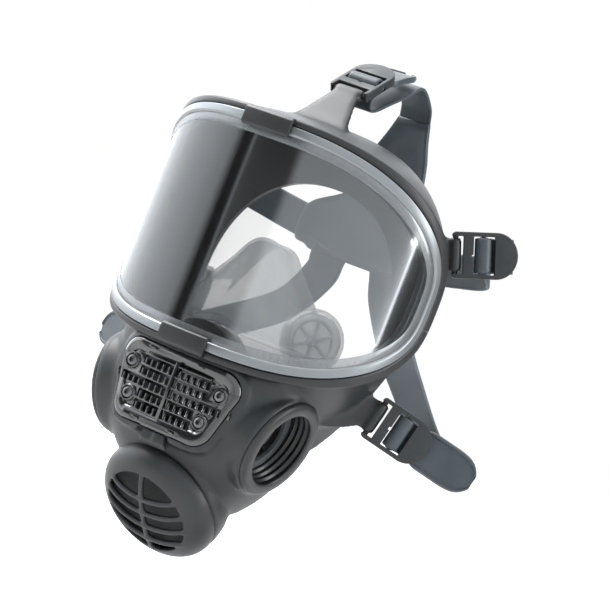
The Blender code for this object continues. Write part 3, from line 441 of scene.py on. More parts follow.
def tube(name, points, radius):
    """A round bar along points."""
    rings = []
    for i, p in enumerate(points):
        d = (points[min(i + 1, len(points) - 1)] - points[max(i - 1, 0)]).normalized()
        rings.append(circle(axis_place(p, d, (0.31, 0.52, 0.79)), radius, 0, 12))
    return loft(name, rings)


def mirrored(p, side):
    return Vector((p[0] * side, p[1], p[2]))


def eased(u):
    return u * u * (3 - 2 * u)


def spline(a, b, c, d, u):
    bend = (2 * a - 5 * b + 4 * c - d) * u * u
    twist = (3 * b - a - 3 * c + d) * u**3
    return 0.5 * (2 * b + (c - a) * u + bend + twist)


def smooth_path(points, per):
    pts = [Vector(p) for p in points]
    out = []
    for i in range(len(pts) - 1):
        a = pts[i - 1] if i else pts[i] * 2 - pts[i + 1]
        d = pts[i + 2] if i + 2 < len(pts) else pts[i + 1] * 2 - pts[i]
        for k in range(per):
            out.append(spline(a, pts[i], pts[i + 1], d, k / per))
    out.append(pts[-1])
    return out


def resampled(curve, count):
    """Points at even distances along a curve."""
    fine = 1200
    pts = [Vector(curve(i / fine)) for i in range(fine + 1)]
    run = [0]
    for a, b in zip(pts, pts[1:]):
        run.append(run[-1] + (b - a).length)
    out, k = [], 0
    for i in range(count + 1):
        want = run[-1] * i / count
        while k < fine - 1 and run[k + 1] < want:
            k += 1
        span = run[k + 1] - run[k]
        out.append(pts[k].lerp(pts[k + 1], (want - run[k]) / span if span else 0))
    return out


def four_quarters(up, down, count):
    top, low = resampled(up, count), resampled(down, count)
    left_top = [mirrored(v, -1) for v in reversed(top)]
    left_low = [mirrored(v, -1) for v in low]
    return top[:-1] + left_top[:-1] + left_low[:-1] + list(reversed(low))[:-1]


def super_xz(t, half_x, half_z, power):
    angle = t * math.pi / 2
    x = half_x * max(math.cos(angle), 0) ** (2 / power)
    return x, half_z * math.sin(angle) ** (2 / power)


# ---- visor outline

def bend_y(x):
    share = min(abs(x) / BEND_HALF_WIDTH, BEND_LIMIT) ** BEND_POWER
    return FRONT_Y + BEND_DEPTH * (1 - (1 - share) ** (1 / BEND_POWER))


def bend_normal(x):
    slope = (bend_y(x + 0.01) - bend_y(x - 0.01)) / 0.02
    return Vector((slope, -1, 0)).normalized()


def visor_quarter(sign):
    def curve(t):
        x, z = super_xz(t, VISOR_HALF_WIDTH, VISOR_HALF_HEIGHT, VISOR_POWER)
        return x, bend_y(x), VISOR_Z + sign * z

    return curve


OUTLINE = four_quarters(visor_quarter(1), visor_quarter(-1), QUARTER)
COUNT = len(OUTLINE)
NORMALS = [bend_normal(p.x) for p in OUTLINE]
OUTWARD = []
for i in range(COUNT):
    along = OUTLINE[(i + 1) % COUNT] - OUTLINE[i - 1]
    OUTWARD.append(NORMALS[i].cross(along).normalized() * -1)
if OUTWARD[COUNT // 4].z < 0:
    OUTWARD = [-v for v in OUTWARD]


def frame_out(i):
    share = min(abs(OUTLINE[i].x) / VISOR_HALF_WIDTH, 1)
    return FRAME_TOP + FRAME_SIDE * share**3


def visor_ring(out, proud):
    """The visor's outline moved outward and forward; out may differ from point to point."""
    reach = [out(i) if callable(out) else out for i in range(COUNT)]
    return [p + w * o + n * proud for p, w, n, o in zip(OUTLINE, OUTWARD, NORMALS, reach)]


# ---- visor and rim

sheet_rings = [visor_ring(-RIM_HALF + 0.3, h) for h in (SHEET_HALF, -SHEET_HALF)]
sheet = loft("visor_sheet", sheet_rings, ("ladder", "ladder"), CLEAR, 30)
stand_in(sheet, "visor_lens")

rim_section = rounded(
    [
        (-RIM_HALF, -SHEET_HALF), (-RIM_HALF, RIM_PROUD - 0.6), (-RIM_HALF + 0.9, RIM_PROUD),
        (RIM_HALF, RIM_PROUD), (RIM_HALF, -SHEET_HALF),
    ],
    0.5,
)
rim = loft("visor_rim", [visor_ring(o, p) for o, p in rim_section], None, RIM, 50)
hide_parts("visor_lens")
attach(rim, "mask")

lip_section = [
    (-RIM_HALF, RIM_PROUD - 1), (-RIM_HALF - 1.6, 1.9), (-RIM_HALF - 4.6, SHEET_HALF + 0.15),
    (-RIM_HALF - 4.6, SHEET_HALF), (-RIM_HALF, SHEET_HALF),
]
lip = loft("visor_lip", [visor_ring(o, p) for o, p in lip_section], None, LIP, 60)
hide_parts("visor_lens")
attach(lip, "mask")


# ---- visor frame

def frame_ring():
    """The frame all the way round, before it is parted at the seam."""
    ledge = -SHEET_HALF - 0.4
    inner = RIM_HALF + GAP
    rings = []
    for i in range(COUNT):
        wide = frame_out(i)
        flat = [(inner, 2.2), (wide, 1.6), (wide, FRAME_BACK)]
        flat += [(-1, FRAME_BACK), (-1, ledge), (inner, ledge)]
        rings.append([OUTLINE[i] + OUTWARD[i] * o + NORMALS[i] * h for o, h in rounded(flat, 1.5)])
    return loft("frame", rings, None, FRAME, 40)


def clip(top):
    sign = 1 if top else -1
    rings = []
    for k in range(33):
        x = -CLIP_HALF + 2 * CLIP_HALF * k / 32
        share = (abs(x) / VISOR_HALF_WIDTH) ** VISOR_POWER
        z = VISOR_HALF_HEIGHT * (1 - share) ** (1 / VISOR_POWER)
        base = Vector((x, bend_y(x), VISOR_Z + sign * z))
        low = RIM_PROUD + GAP
        section = [(-4.2, low), (-4, 4.4), (-3, 5.2), (4.5, 5.2)]
        section += [(6.3, 3.6), (6.3, 0.5), (3.4, 0.5), (3.4, low)]
        rings.append([base + Vector((0, 0, sign)) * o + bend_normal(x) * h for o, h in section])
    return bevelled(loft("clip", rings, ("flat", "flat"), FRAME), 0.5)


seam_at = min(range(COUNT // 4 * 3, COUNT), key=lambda i: abs(OUTLINE[i].z - SEAM_Z))
SEAM_POINT = OUTLINE[seam_at] + OUTWARD[seam_at] * 7.6 - NORMALS[seam_at] * 2


def seam_boss(side):
    """The oval swelling round the clamp screw."""
    out = mirrored(OUTWARD[seam_at], side)
    place = axis_place(mirrored(SEAM_POINT, side), out)
    rings = []
    for k in range(7):
        u = k / 6
        wide = math.cos(u * math.pi / 2) ** 0.5 if k < 6 else 0.05
        height = 1.9 * math.sin(u * math.pi / 2)
        oval = [(9.5 * wide * math.cos(a), 3.4 * wide * math.sin(a)) for a in turns(40)]
        rings.append([place @ Vector((x, y, height)) for x, y in oval])
    rings.insert(0, [p - out * 2.5 for p in rings[0]])
    return loft("boss", rings, ("fan", "fan"), FRAME)


for name, top in (("visor_frame_upper", True), ("visor_frame_lower", False)):
    whole = frame_ring()
    for side in (1, -1):
        carve(whole, seam_boss(side), "UNION")
    edge = SEAM_Z + (SEAM_GAP if top else -SEAM_GAP)
    low, high = (-140, edge) if top else (edge, 140)
    carve(whole, block("off", (-130, -130, low), (130, 60, high)))
    painted(whole, FRAME)
    shaded(whole, 35)
    half = joined(name + "_looks", [whole, clip(top)])
    stand_in(half, name)


# ---- facepiece

def rear_quarter(sign, inset, y):
    def curve(t):
        height, power = REAR_UP if sign > 0 else REAR_DOWN
        x, z = super_xz(t, REAR_HALF_WIDTH - inset, height - inset, power)
        return x, y, REAR_Z + sign * z

    return curve


def skirt_rings(inset, front, back):
    first = visor_ring(lambda i: frame_out(i) - 0.4 - inset, FRAME_BACK - 1.3 * GAP)
    last = four_quarters(rear_quarter(1, inset, back), rear_quarter(-1, inset, back), QUARTER)
    rings = []
    for k in range(13):
        t = k / 12
        ring = []
        for a, b in zip(first, last):
            p = a.lerp(b, t)
            away = Vector((p.x, 0, p.z)).normalized()
            ring.append(p + away * SKIRT_BULGE * t * (1 - t))
        rings.append(ring)
    if front:
        rings.insert(0, [p + Vector((0, front, 0)) for p in first])
    return rings


def muzzle_rings(inset, top, bottom):
    levels = [Vector(row) for row in MUZZLE]
    levels[0][0], levels[-1][0] = top, bottom
    rings = []
    for z, half, front, back in smooth_path(levels, 6):
        half, front, back = half - inset, front + inset, back - inset
        middle, depth = (front + back) / 2, (back - front) / 2
        ring = []
        for a in turns(120):
            c, s = math.cos(a), math.sin(a)
            x = half * math.copysign(abs(c) ** (2 / MUZZLE_POWER), c)
            y = depth * math.copysign(abs(s) ** (2 / MUZZLE_POWER), s)
            ring.append(Vector((x, middle + y, z)))
        rings.append(ring)
    return rings


def muzzle_front(x):
    _, half, front, back = MUZZLE[1]
    share = (abs(x) / half) ** MUZZLE_POWER
    return (front + back) / 2 - (back - front) / 2 * (1 - share) ** (1 / MUZZLE_POWER)


PORTS = {}
for hand, side in SIDES:
    mount = MOUNTS[hand + "_port"]
    centre = Vector(mount["pos_m"]) / MM + Vector((0, 23, 0))
    PORTS[hand] = axis_place(centre, mount["axis"])
exhale = axis_place(EXHALE, JOINTS["exhalation_valve_lift"]["axis"], (1, 0, 0))


def buckle_place(name):
    """Local x runs from the pivot bar to the thumb end, y along the bar, z outwards."""
    pivot = JOINTS["buckle_pivot_" + name]
    roller = JOINTS["roller_spin_" + name]
    origin = Vector(pivot["pos_m"]) / MM
    x = (Vector(roller["pos_m"]) / MM - origin).normalized()
    y = -Vector(pivot["axis"]).normalized()
    m = Matrix((x, y, x.cross(y))).transposed().to_4x4()
    m.translation = origin
    return m


KINDS = [("top", "top", 1)]
for hand, side in SIDES:
    KINDS += [("temple_" + hand, "temple", side), ("lower_" + hand, "lower", side)]
BUCKLES = {name: buckle_place(name) for name, _, _ in KINDS}
ALONG_BAR = Vector((0, 1, 0))

TAB_BASES = {  # (centre, half width, half thickness) where a tab leaves the facepiece
    "top": (((0, -48, 62), 24, 2.5), ((0, -36, 70), 17, 2)),
    "temple": (((68, -8, 29), 12, 2.5), ((76, -4, 31), 10.5, 1.8)),
    "lower": (((50, -18, -62), 15, 3), ((62, -7, -61), 12, 2)),
}


def tab(name, kind, side):
    """The rubber tongue that holds a buckle, with the sleeve round the buckle's bar."""
    place = BUCKLES[name]
    turn = place.to_3x3()
    across = turn @ ALONG_BAR
    pivot = place.translation
    stations = [(mirrored(c, side), w, t) for c, w, t in TAB_BASES[kind]]
    stations += [(pivot - turn @ Vector((4.5, 0, 0)), 8.7, 1.5), (pivot, 8.7, 1.5)]
    centres = smooth_path([c for c, _, _ in stations], 6)
    widths = smooth_path([Vector((w, t, 0)) for _, w, t in stations], 6)
    rings = []
    for k, here in enumerate(centres):
        step = centres[min(k + 1, len(centres) - 1)] - centres[max(k - 1, 0)]
        normal = across.cross(step).normalized()
        half, thick = widths[k][0], widths[k][1]
        section = rounded(oblong(-half, -thick, half, thick), 1.2, 3)
        rings.append([here + across * a + normal * b for a, b in section])
    sleeve = [(0, 9), (2.6, 9), (3.4, 8.4), (3.4, -8.4), (2.6, -9), (0, -9)]
    sleeve = turned("sleeve", sleeve, axis_place(pivot, across), 48)
    return [loft("tab", rings, ("flat", "flat")), sleeve]


COVER_CORNERS = ((40, -64.6), (-40, -64.6), (-28.5, -106), (28.5, -106))
COVER_SCREWS = ((28, -77.5), (23, -93.5))
COVER_FACE = 3.9  # from the muzzle's front to the cover's face
COVER_Z = -85.3  # the middle that its plain face closes on


def cover_outline(grow):
    radius = 10
    points = []
    for k in range(4):
        here = Vector(COVER_CORNERS[k])
        before = (Vector(COVER_CORNERS[k - 1]) - here).normalized()
        after = (Vector(COVER_CORNERS[(k + 1) % 4]) - here).normalized()
        half = before.angle(after) / 2
        centre = here + (before + after).normalized() * radius / math.sin(half)
        start = (here + before * radius / math.tan(half)) - centre
        end = (here + after * radius / math.tan(half)) - centre
        sweep = start.angle_signed(end)
        for s in range(13):
            p = Matrix.Rotation(-sweep * s / 12, 2) @ start
            p = p.normalized() * (radius + grow)
            points.append((centre.x + p.x, centre.y + p.y))
    return points


UPRIGHT = Matrix(((1, 0, 0, 0), (0, 0, -1, 0), (0, 1, 0, 0), (0, 0, 0, 1)))
FORWARD = (0, -1, 0)
SCREW_PLACES = []
for x, z in COVER_SCREWS:
    for side in (1, -1):
        SCREW_PLACES.append(axis_place((x * side, muzzle_front(x) - COVER_FACE, z), FORWARD))


def curved_slab(front, back):
    """A slab that follows the muzzle's front, from front to back in millimetres before it."""
    across = [-46 + 92 * k / 64 for k in range(65)]
    near = [(x, muzzle_front(x) - front) for x in across]
    far = [(x, muzzle_front(x) - back) for x in across]
    return prism("slab", near + list(reversed(far)), -112, -58)


def follow(points, lift):
    """Points of x and z laid on the cover's face."""
    return [Vector((x, muzzle_front(x) - COVER_FACE - lift, z)) for x, z in points]


def cover_slab(outline, front, back):
    slab = prism("cover", outline, 50, 90, UPRIGHT)
    return carve(slab, curved_slab(front, back), "INTERSECT")


outer = [loft("skirt", skirt_rings(0, 0, REAR_Y), ("ladder", "fan"))]
outer.append(loft("muzzle", muzzle_rings(0, -61.5, -134)))
bezel = cover_slab(cover_outline(3.4), 2.9, -2)
outer.append(carve(bezel, block("latch_room", (-10, -95, -125), (10, -50, -106.2))))
for place in PORTS.values():
    boss = [(0, -2), (27.2, -2), (28.4, -3.2), (28.4, -18), (24, -30), (0, -30)]
    outer.append(turned("boss", boss, place))
neck = [(0, 4), (30.5, 4), (30.5, -0.3), (33.2, -0.3), (CAP_R, -1.2), (CAP_R, -6)]
neck += [(33, -12), (29, -20.5), (21, -27), (0, -30)]
outer.append(turned("neck", neck, exhale))
for row in KINDS:
    outer += tab(*row)
facepiece = softened(joined("facepiece_rubber", outer), 1.25, 14)

inner = [loft("skirt_in", skirt_rings(WALL, -14, REAR_Y - WALL), ("ladder", "fan"))]
inner.append(loft("muzzle_in", muzzle_rings(WALL, -56, -131)))
inner.append(cover_slab(cover_outline(0.35), 9, 0.6))


def opening_quarter(sign):
    def curve(t):
        x, z = super_xz(t, OPENING_HALF_WIDTH, OPENING_UP if sign > 0 else OPENING_DOWN, 2.2)
        return x, 0, OPENING_Z + sign * z

    return curve


hole = four_quarters(opening_quarter(1), opening_quarter(-1), 24)
inner.append(loft("opening", [[v + Vector((0, y, 0)) for v in hole] for y in (-6, 12)]))
for place in PORTS.values():
    inner.append(rod("port_hole", 23.4, 6, -34, place))
    inner.append(rod("port_room", 27.5, 14, -2.8, place))
inner.append(rod("neck_hole", 27, 9, -8.5, exhale))
inner.append(rod("speech_hole", 17.5, 30, -12, axis_place((0, -60, -83), FORWARD)))


def frame_edge(i):
    return frame_out(i) + GAP


ledge = [(-1.5, 9), (frame_edge, 9), (frame_edge, FRAME_BACK - GAP), (-1.5, FRAME_BACK - GAP)]
inner.append(loft("frame_room", [visor_ring(o, h) for o, h in ledge], None))
for name, _, _ in KINDS:
    bar = axis_place(BUCKLES[name].translation, BUCKLES[name].to_3x3() @ ALONG_BAR)
    inner.append(rod("bar_hole", 1.8, 14, -14, bar, 24))
carve(facepiece, inner)
painted(facepiece, RUBBER)
shaded(facepiece, 50)
stand_in(facepiece, "facepiece")


# ---- speech cover

def toward_middle(points, share):
    return [(x * share, COVER_Z + (z - COVER_Z) * share) for x, z in points]


plain = cover_outline(0)
floor_edge = cover_outline(-7.4)
rings = [follow(toward_middle(plain, k / 8), -3) for k in range(1, 9)]
for inset, lift in (
    (0, -1.1), (0.15, -0.6), (0.6, -0.15), (1.3, 0.1), (2.4, 0.2), (4, 0.05),
    (5.2, -0.3), (6.2, -0.8), (7, -1.45), (7.4, -1.7),
):
    rings.append(follow(cover_outline(-inset), lift))
rings += [follow(toward_middle(floor_edge, k / 8), -1.7) for k in range(7, 0, -1)]
cover = loft("speech_cover_looks", rings)
ROW_STEP = 5.6
ROW_Z = [-74.4 - ROW_STEP * row for row in range(5)]
ROW_REACH = (21.2, 21.5, 31.5, 17.8, 17.8)
slots, pegs = [], []
for z, reach in zip(ROW_Z, ROW_REACH):
    for side in (1, -1):
        low, high = sorted((1.5 * side, reach * side))
        slots.append(block("slot", (low, -90, z - 2.2), (high, -60, z + 2.2)))
        for k in range(int((reach - 3.4) // 3.8) + 1):
            x = side * (3.6 + 3.8 * k)
            near = muzzle_front(x) - COVER_FACE
            low, high = (x - 0.75, near + 0.7, z - 2.5), (x + 0.75, near + 2.9, z + 0.9)
            pegs.append(block("peg", low, high))
carve(cover, joined("slots", slots))
carve(cover, joined("pegs", pegs), "UNION")
ribs = []
RIB_Z = [ROW_Z[0] + ROW_STEP / 2] + [z - ROW_STEP / 2 for z in ROW_Z]
for z, wide in zip(RIB_Z, (21, 22, 30.5, 30.5, 22, 18)):
    ribs.append(cover_slab(oblong(-wide, z - 0.5, wide, z + 0.5), COVER_FACE - 0.7, 1.3))
ribs.append(cover_slab(oblong(-0.9, -101.5, 0.9, -70), COVER_FACE, 1.35))
for place in SCREW_PLACES:
    boss = [(0, 0.2), (3.9, 0.2), (4.4, -0.5), (4.4, -2.4), (0, -2.4)]
    ribs.append(turned("boss", boss, place, 40))
for rib in ribs:
    carve(cover, rib, "UNION")
for x, z, wide, tall in (
    (-18.5, -67.4, 2.5, 1), (12.5, -67.4, 2.5, 1), (-13, -103.4, 2.5, 1),
    (9.5, -103.4, 2.5, 1), (-35.6, -85, 1, 2.5), (35.6, -85, 1, 2.5),
):
    near = muzzle_front(x) - COVER_FACE
    low, high = (x - wide, near - 9, z - tall), (x + wide, near + 1.6, z + tall)
    carve(cover, block("snap", low, high))
    wide, tall = wide - 0.45, tall - 0.45
    low, high = (x - wide, near + 0.25, z - tall), (x + wide, near + 2.2, z + tall)
    carve(cover, block("snap_tongue", low, high), "UNION")
for place in SCREW_PLACES:
    sink = [(0, 4), (3.3, 4), (3.3, -1.6), (1.8, -1.6), (1.8, -8), (0, -8)]
    carve(cover, turned("sink", sink, place, 40))
painted(cover, GLOSSY)
bevelled(cover, 0.2, 2, 32)
stand_in(cover, "speech_cover")

for number, place in enumerate(SCREW_PLACES, 1):
    head = [(0, 0.9), (1.6, 0.9), (2.5, 0.5), (3, -0.2)]
    head += [(3, -1.3), (1.4, -1.3), (1.4, -6.2), (0, -6.2)]
    screw = turned(f"cover_screw_{number}_looks", head, place, 40)
    socket = []
    for a in turns(24):
        r = 1.25 + 0.22 * math.cos(6 * a)
        socket.append((r * math.cos(a), r * math.sin(a)))
    carve(screw, prism("socket", socket, -0.7, 2, place))
    painted(screw, STEEL)
    shaded(screw, 30)
    stand_in(screw, f"cover_screw_{number}")


# ---- exhalation cover and latch

def dome(t, shrink):
    angle = t * math.pi / 2
    r = (CAP_R - shrink) * max(math.cos(angle), 0) ** 0.72
    return r, (CAP_HEIGHT - shrink) * math.sin(angle) ** 0.9


def dome_height(r, shrink):
    best = min(range(201), key=lambda k: abs(dome(k / 200, shrink)[0] - r))
    return dome(best / 200, shrink)[1]


skin = [dome(k / 40, 0) for k in range(40, -1, -1)]
lining = [dome(k / 40, CAP_WALL) for k in range(41)]
profile = [(0, CAP_HEIGHT), *skin[1:-1], (CAP_R, 0)]
profile += [(CAP_R - CAP_WALL, 0), *lining[1:-1], (0, CAP_HEIGHT - CAP_WALL)]
cap = turned("cap", profile, exhale)
window_place = exhale @ Matrix.Translation((0, WINDOW_SHIFT, 0))
carve(cap, turned("window", [(0, 30), (26, 30), (23.6, 6), (0, 6)], window_place))
bars = [cap]
for q in CAP_BARS:
    line = []
    for k in range(41):
        x = -25 + 50 * k / 40
        y = q + WINDOW_SHIFT - 1.5 + 0.008 * x * x
        line.append(Vector((x, y, dome_height(math.hypot(x, y), BAR_SINK))))
    inside = [exhale @ p for p in line if (p - Vector((0, WINDOW_SHIFT, 0))).xy.length < 25.4]
    bars.append(tube("bar", inside, 1.6))
upright = []
for k in range(41):
    y = WINDOW_SHIFT - 24.8 + 49.6 * k / 40
    upright.append(exhale @ Vector((0, y, dome_height(abs(y), BAR_SINK + 0.1))))
bars.append(tube("bar", upright, 1.5))
cap = softened(joined("exhalation_cover_looks", bars), 0.6, 4, SOFT_RUBBER)
stand_in(cap, "exhalation_cover", "exhalation_cover")

latch_section = rounded([(-1.3, 0.6), (1.4, 0.6), (2.4, -6.8), (0.7, -6.8), (-1.9, -4.3)], 0.7)
hinge = Vector(JOINTS["cover_latch_lift"]["pos_m"]) / MM
rings = []
for k in range(19):
    x = -8.5 + 17 * k / 18
    swell = 1 - 0.12 * abs(x / 8.5) ** 4
    ring = []
    for y, z in latch_section:
        flare = 0.74 + 0.26 * min(max(-z / 6.8, 0), 1)
        fold = 0.5 * max(0, 1 - abs(x - 1.5) / 2)
        ring.append(hinge + Vector((x * flare, y * swell - (fold if y < 0 else 0), z * swell)))
    rings.append(ring)
latch = loft("cover_latch_looks", rings, ("flat", "flat"), SOFT_RUBBER)
bevelled(latch, 0.4)
stand_in(latch, "cover_latch", "cover_latch")


# ---- filter ports

THREAD_PITCH = 3.63
THREAD_DEPTH = 1.3
PORT_R = 20.3
PORT_STEPS = 120
PORT_PROFILE = (
    (20.6, 0), (21.6, 0.35), (25.2, 0.3), (26.4, -0.3), (27, -1.2), (27, -2.5),
    (23, -2.5), (23, -20), (PORT_R, -20), (PORT_R, -13.2),
)
SEAT_Z = -15


def spoked(seat, hub, spoke, hole, place, look):
    """A valve seat with a bored hub on three cross bars."""
    carve(seat, turned("hub", hub, place, 40), "UNION")
    low, high = spoke
    for k in range(3):
        turn = place @ Matrix.Rotation(k * math.pi / 3, 4, "Z")
        carve(seat, block("spoke", low, high, turn), "UNION")
    carve(seat, rod("hole", *hole[:3], place, hole[3]))
    painted(seat, look)
    bevelled(seat, 0.25)


depths = []
depth = 0.8
while depth < 12.6:
    depths.append(depth)
    depth += 0.3
for hand, side in SIDES:
    place = PORTS[hand]
    rings = [circle(place, r, h, PORT_STEPS) for r, h in PORT_PROFILE]
    for depth in reversed(depths):
        fade = min(1, (depth - 0.6) / 1.2, 13 - depth)
        ring = []
        for i, a in enumerate(turns(PORT_STEPS)):
            turned_by = depth / THREAD_PITCH + i / PORT_STEPS * side
            wave = 0.5 - 0.5 * math.cos(2 * math.pi * turned_by)
            r = PORT_R + THREAD_DEPTH * wave * max(fade, 0)
            ring.append(place @ Vector((r * math.cos(a), r * math.sin(a), -depth)))
        rings.append(ring)
    ring = loft(f"port_ring_{hand}_looks", rings, None, PORT, 60)
    ring.data.materials.append(SOFT_RUBBER)
    home = place.inverted()
    for f in ring.data.polygons:
        at = home @ (f.center / MM)
        if at.xy.length > 20.75 and at.z > -2.6:
            f.material_index = 1
    stand_in(ring, "port_ring_" + hand)
    seat = turned(
        f"inhalation_seat_{hand}_looks",
        [(15, SEAT_Z - 0.3), (19.9, SEAT_Z - 0.3), (19.9, SEAT_Z - 2.6), (15, SEAT_Z - 2.6)],
        place,
    )
    hub = [(0, SEAT_Z - 0.5), (3.6, SEAT_Z - 0.7), (3.6, SEAT_Z - 2.3), (0, SEAT_Z - 2.3)]
    spoke = (-15.6, -0.9, SEAT_Z - 2.2), (15.6, 0.9, SEAT_Z - 0.7)
    spoked(seat, hub, spoke, (1.6, SEAT_Z + 3, SEAT_Z - 8, 32), place, PORT)
    stand_in(seat, "inhalation_seat_" + hand)


# ---- inner mask

FACE_EDGE = (
    (0, -22, 5), (8, -21, 3), (15, -18, -6), (26, -13, -20), (37, -8, -38),
    (42, -5, -60), (37, -6, -80), (22, -9, -95), (0, -11, -100),
)
CHEEK = (
    (0, -43, 4), (9, -42, 1), (16, -41, -9), (27, -38, -22), (38, -33, -38),
    (40, -31, -55), (30, -34, -71), (20, -38, -87), (0, -40, -95),
)
HOUSING_Z = -72
HALF_STEPS = 56  # ring points on one side


def half_ring(points):
    pts = [Vector(p) for p in points]

    def curve(t):
        s = t * (len(pts) - 1)
        i = min(int(s), len(pts) - 2)
        a = pts[i - 1] if i > 0 else mirrored(pts[1], -1)
        d = pts[i + 2] if i + 2 < len(pts) else mirrored(pts[-2], -1)
        return spline(a, pts[i], pts[i + 1], d, s - i)

    left = resampled(curve, HALF_STEPS)
    return left + [mirrored(v, -1) for v in reversed(left[1:-1])]


def collar_ring(radius, y):
    round_it = [math.pi * i / HALF_STEPS for i in range(2 * HALF_STEPS)]
    return [Vector((radius * math.sin(a), y, HOUSING_Z + radius * math.cos(a))) for a in round_it]


def shrunk(ring, by):
    middle = sum(ring, Vector()) / len(ring)
    away = [Vector((v.x - middle.x, 0, v.z - middle.z)).normalized() for v in ring]
    return [v - d * by for v, d in zip(ring, away)]


def between(first, second, share, forward, wider=0):
    shift = [Vector((a.x * wider, -forward, 0)) for a in first]
    return [a.lerp(b, share) + c for a, b, c in zip(first, second, shift)]


def finer(rings):
    """Rings put smoothly between rings."""
    per = 6
    out = []
    for k in range(len(rings) - 1):
        for s in range(per):
            ring = []
            for i in range(len(rings[0])):
                a = rings[max(k - 1, 0)][i]
                d = rings[min(k + 2, len(rings) - 1)][i]
                ring.append(spline(a, rings[k][i], rings[k + 1][i], d, s / per))
            out.append(ring)
    out.append(rings[-1])
    return out


edge_ring, cheek_ring = half_ring(FACE_EDGE), half_ring(CHEEK)
edge_in, cheek_in = shrunk(edge_ring, 2), shrunk(cheek_ring, 2)
outside = [edge_ring, between(edge_ring, cheek_ring, 0.5, 0, 0.03), cheek_ring]
outside += [between(cheek_ring, collar_ring(33, -52), 0.45, 3.5), collar_ring(31, -54)]
lining = [collar_ring(28, -51.5), between(cheek_in, collar_ring(31, -49.5), 0.45, 1)]
lining += [cheek_in, between(edge_in, cheek_in, 0.5, 0, 0.03), edge_in]
collar = ((31, -56), (30.2, -57), (31, -58), (30.6, -60), (27.6, -60), (27.6, -51.6))
rings = finer(outside) + [collar_ring(*row) for row in collar] + finer(lining)
inner_mask = loft("inner_mask_looks", rings, None, MILKY)
extras = []
valve_places = {}
for hand, side in SIDES:
    edge = [(x, bend_y(x) + 11) for x in (16, 20, 26, 31, 36, 40, 44, 49)]
    wing = [(14, -57), *edge, (51, -48), (50, -36), (40, -32), (30, -44)]
    extras.append(prism("wing", [(x * side, y) for x, y in wing], -45.6, -43.2))
    axis = -Vector(JOINTS["inner_valve_" + hand]["axis"])
    place = axis_place(mirrored((37, -25, -36), side), axis)
    valve_places[hand] = place
    boss = [(0, 2.2), (16.4, 2.2), (17.2, 1.4), (17.2, -2.2), (0, -2.2)]
    extras.append(turned("boss", boss, place, 64))
for extra in extras:
    carve(inner_mask, extra, "UNION")
for place in valve_places.values():
    carve(inner_mask, rod("hole", 15.1, 9, -14, place, 64))
softened(inner_mask, 0.8, 3, MILKY)
stand_in(inner_mask, "inner_mask")

for hand, place in valve_places.items():
    profile = rounded([(10.4, 1.6), (12, 2.5), (14.8, 2.1), (14.8, -1.6), (10.4, -1.6)], 0.4, 3)
    seat = turned(f"inner_valve_seat_{hand}_looks", profile, place, 64)
    hub = [(0, 1.2), (1.9, 1.1), (2.8, 0.7), (2.8, -1), (0, -1)]
    spoke = (-11, -0.7, -0.8), (11, 0.7, 0.8)
    spoked(seat, hub, spoke, (1.3, 5, -5, 24), place, MILKY_HARD)
    stand_in(seat, "inner_valve_seat_" + hand)


# ---- front housing

profile = [
    (19, 69), (25.3, 69), (26.5, 68.3), (27, 67.3), (27, 62.6), (26.6, 62.2),
    (26.6, 61.4), (27, 61), (27, 51.2), (23.6, 51.2), (23.6, 67), (19, 67),
]
place = axis_place((0, 0, HOUSING_Z), FORWARD)
housing = turned("front_housing_looks", profile, place, 96, FRAME)
stand_in(housing, "front_housing")


# ---- buckles and rollers

buckle_side = [(-1.9, -10.4), (-1.3, -11.5), (-0.2, -12), (10, -12), (21, -12)]
buckle_end = [-math.pi / 2 + math.pi * k / 24 for k in range(1, 24)]
BUCKLE_OUTLINE = buckle_side + [(21 + 11 * math.cos(a), 12 * math.sin(a)) for a in buckle_end]
BUCKLE_OUTLINE += [(x, -y) for x, y in reversed(buckle_side)]

for name, place in BUCKLES.items():
    body = prism(f"buckle_{name}_looks", BUCKLE_OUTLINE, -1.8, 3.2, place)
    for low, high in ((-9, 4), (9.3, 20.2)):
        carve(body, block("room", (low, -9.8, -9), (high, 9.8, 9), place))
    carve(body, block("notch", (8.4, -1.3, -9), (9.6, 0.3, 9), place))
    body = bevelled(body, 0.6, 3)
    across = place.to_3x3() @ ALONG_BAR
    bar = rod("bar", 1.5, 10.6, -10.6, axis_place(place.translation, across), 32)
    carve(body, bar, "UNION")
    at_roller = axis_place(place @ Vector((ROLLER_U, 0, 0)), across)
    carve(body, rod("hole", 1.35, 14, -14, at_roller, 24))
    painted(body, BUCKLE)
    shaded(body, 40)
    stand_in(body, "buckle_" + name, "buckle_" + name)
    half = [(1.05, 11.4), (1.05, 9.5), (1.9, 9.5), (ROLLER_R, 9.2)]
    profile = [(0, 11.4), *half, *[(r, -h) for r, h in reversed(half)], (0, -11.4)]
    roller = turned(f"roller_{name}_looks", profile, at_roller, 40, ROLLER)
    stand_in(roller, "roller_" + name, "roller_" + name)


# ---- head harness

